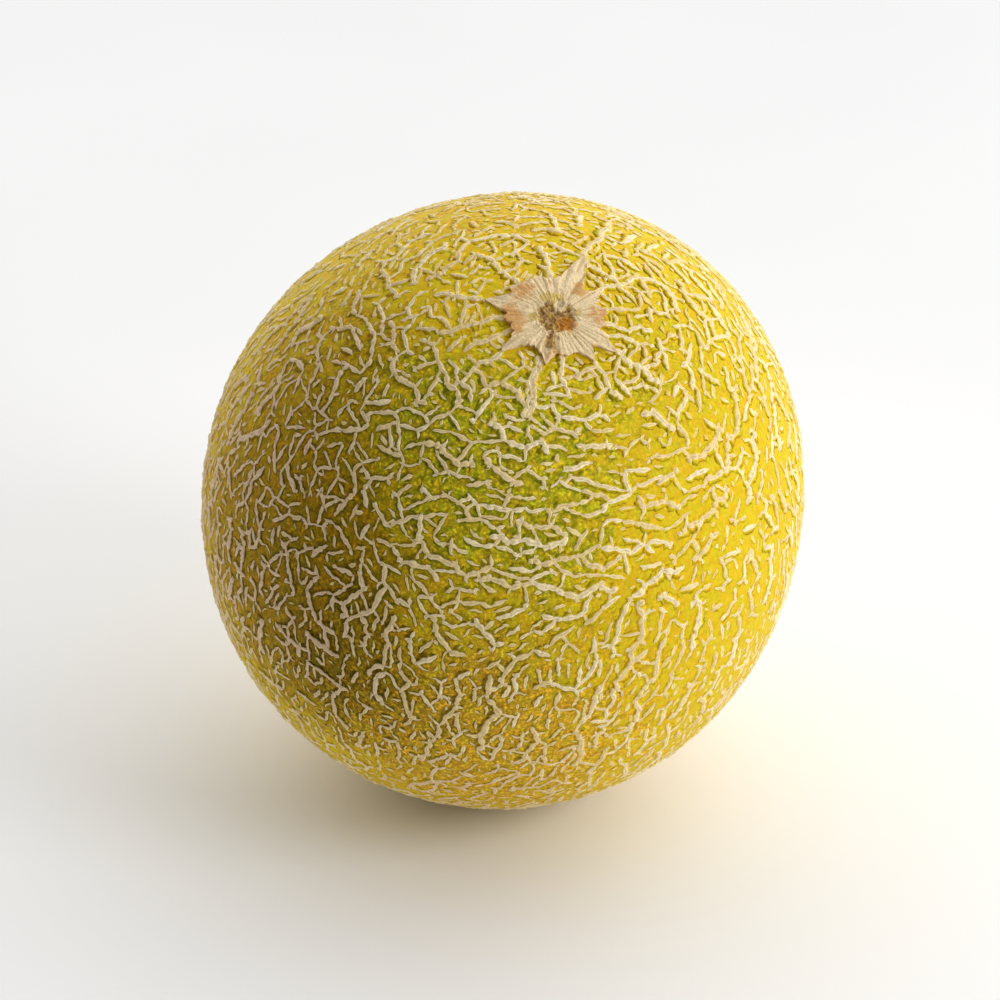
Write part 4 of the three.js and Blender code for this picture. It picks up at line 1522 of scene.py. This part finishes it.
def make_flower_scar(finish):
    """A low ring with a dished middle, opposite the stalk."""
    rnd = stream(SCAR_SEED + 1)
    azimuth = (np.arange(FLOWER_COLUMNS) * (2 * math.pi / FLOWER_COLUMNS))[None, :]
    outer = FLOWER_RADIUS + 1.0 + 0.35 * ripples(rnd, azimuth, 0 * azimuth, 4, 12, 8, 0.0)
    share = (np.arange(1, FLOWER_ROWS + 1) / FLOWER_ROWS)[:, None]
    radius = share * outer
    fibre = ripples(rnd, azimuth, radius, 16, 50, 16, 0.6)
    lumps = crumbs(rnd, radius * np.cos(azimuth), radius * np.sin(azimuth), 1.1, 14)
    ring = np.exp(-(((radius - FLOWER_RADIUS + 1.2) / 1.3) ** 2))
    height = (FLOWER_RING + FLOWER_DISH) * ring - FLOWER_DISH + 0.07 * lumps + 0.06 * fibre * ring
    height = height * (1 - smooth(0.85, 1, share)) - 0.4 * smooth(0.85, 1, share) + 0.55 * (1 - share)
    directions = by_stalk(azimuth + 0 * share, radius) * (1, 1, -1)
    rings = on_skin(directions, height)[:, ::-1]
    mesh = ring_mesh("flower_scar", rings, on_axis(-1.0, height[0].mean()), on_axis(-1.0, -FLOWER_ROOT))
    mesh.materials.append(finish)
    keep_values(mesh, "ring", [0.0, *ring[:, ::-1].ravel(), 0.0])
    keep_values(mesh, "fibre", [0.0, *fibre[:, ::-1].ravel(), 0.0])
    return new_object("flower_scar", mesh)


# Stage.
def make_floor():
    half = FLOOR_SIZE / 2 * MM
    mesh = bpy.data.meshes.new("floor")
    corners = [(-half, -half, 0), (half, -half, 0), (half, half, 0), (-half, half, 0)]
    mesh.from_pydata(corners, [], [(0, 1, 2, 3)])
    mesh.materials.append(floor_finish())
    floor = new_object("floor", mesh)


def aim(thing, place, target):
    """Puts a camera or a lamp at a place and turns it toward a target."""
    from_target = np.asarray(place, float) - np.asarray(target, float)
    thing.location = [float(v) for v in place]
    thing.rotation_mode = "QUATERNION"
    thing.rotation_quaternion = Vector(from_target).to_track_quat("Z", "Y")


def make_camera():
    camera = new_object("camera", bpy.data.cameras.new("camera"))
    far = CAMERA_DISTANCE / BODY_WITH_NET
    pixels = BODY_PIXELS * math.sqrt(far * far - 1)
    camera.data.sensor_width = SENSOR
    camera.data.lens = pixels * SENSOR / PICTURE
    right, up, toward = VIEW_AXES
    off_right = (PICTURE / 2 - BODY_AT[0]) * CAMERA_DISTANCE / pixels
    off_up = (BODY_AT[1] - PICTURE / 2) * CAMERA_DISTANCE / pixels
    target = np.array(BODY_CENTRE) + off_right * right + off_up * up
    aim(camera, (target + CAMERA_DISTANCE * toward) * MM, target * MM)
    bpy.context.scene.camera = camera


def make_key_light():
    """One broad soft lamp to the viewer's right and a little above."""
    data = bpy.data.lights.new("key", "AREA")
    data.shape = "DISK"
    data.size = KEY_SIZE * MM
    data.energy = KEY_POWER
    lamp = new_object("key", data)
    direction = np.array(unit(KEY_FROM)) @ VIEW_AXES
    centre = np.array(BODY_CENTRE)
    aim(lamp, (centre + KEY_DISTANCE * direction) * MM, centre * MM)


def make_sky():
    """A pale surround, bright on one side and dim on the other."""
    world = bpy.data.worlds.new("surround")
    bpy.context.scene.world = world
    world.use_nodes = True
    nodes = Nodes(world.node_tree)
    direction = nodes.add("ShaderNodeTexCoord").outputs["Generated"]
    swing = nodes.dot(direction, tuple(np.array(SKY_SWING) @ VIEW_AXES))
    strength = nodes.math("MAXIMUM", nodes.plus(swing, SKY_MEAN), 0.0)
    nodes.put(world.node_tree.nodes["Background"].inputs["Strength"], strength)
    world.node_tree.nodes["Background"].inputs["Color"].default_value = colour(1, 1, 1)


def dress(piece):
    """Every piece moves with the one body and stands for its solid."""
    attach(piece, "root")
    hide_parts("melon")


def make_melon():
    cork_grain = cork_grain_group()
    skin_colour = skin_colour_group(mottle_group())
    pieces = [make_skin(skin_finish(skin_colour))]
    pieces += make_net(cork_finish(cork_grain, skin_colour))
    pieces.append(make_stalk_scar(scar_finish(cork_grain)))
    pieces.append(make_flower_scar(flower_finish(cork_grain)))
    for piece in pieces:
        dress(piece)


make_camera()
make_key_light()
make_sky()
make_floor()
make_melon()
bpy.context.scene.view_settings.view_transform = "Standard"
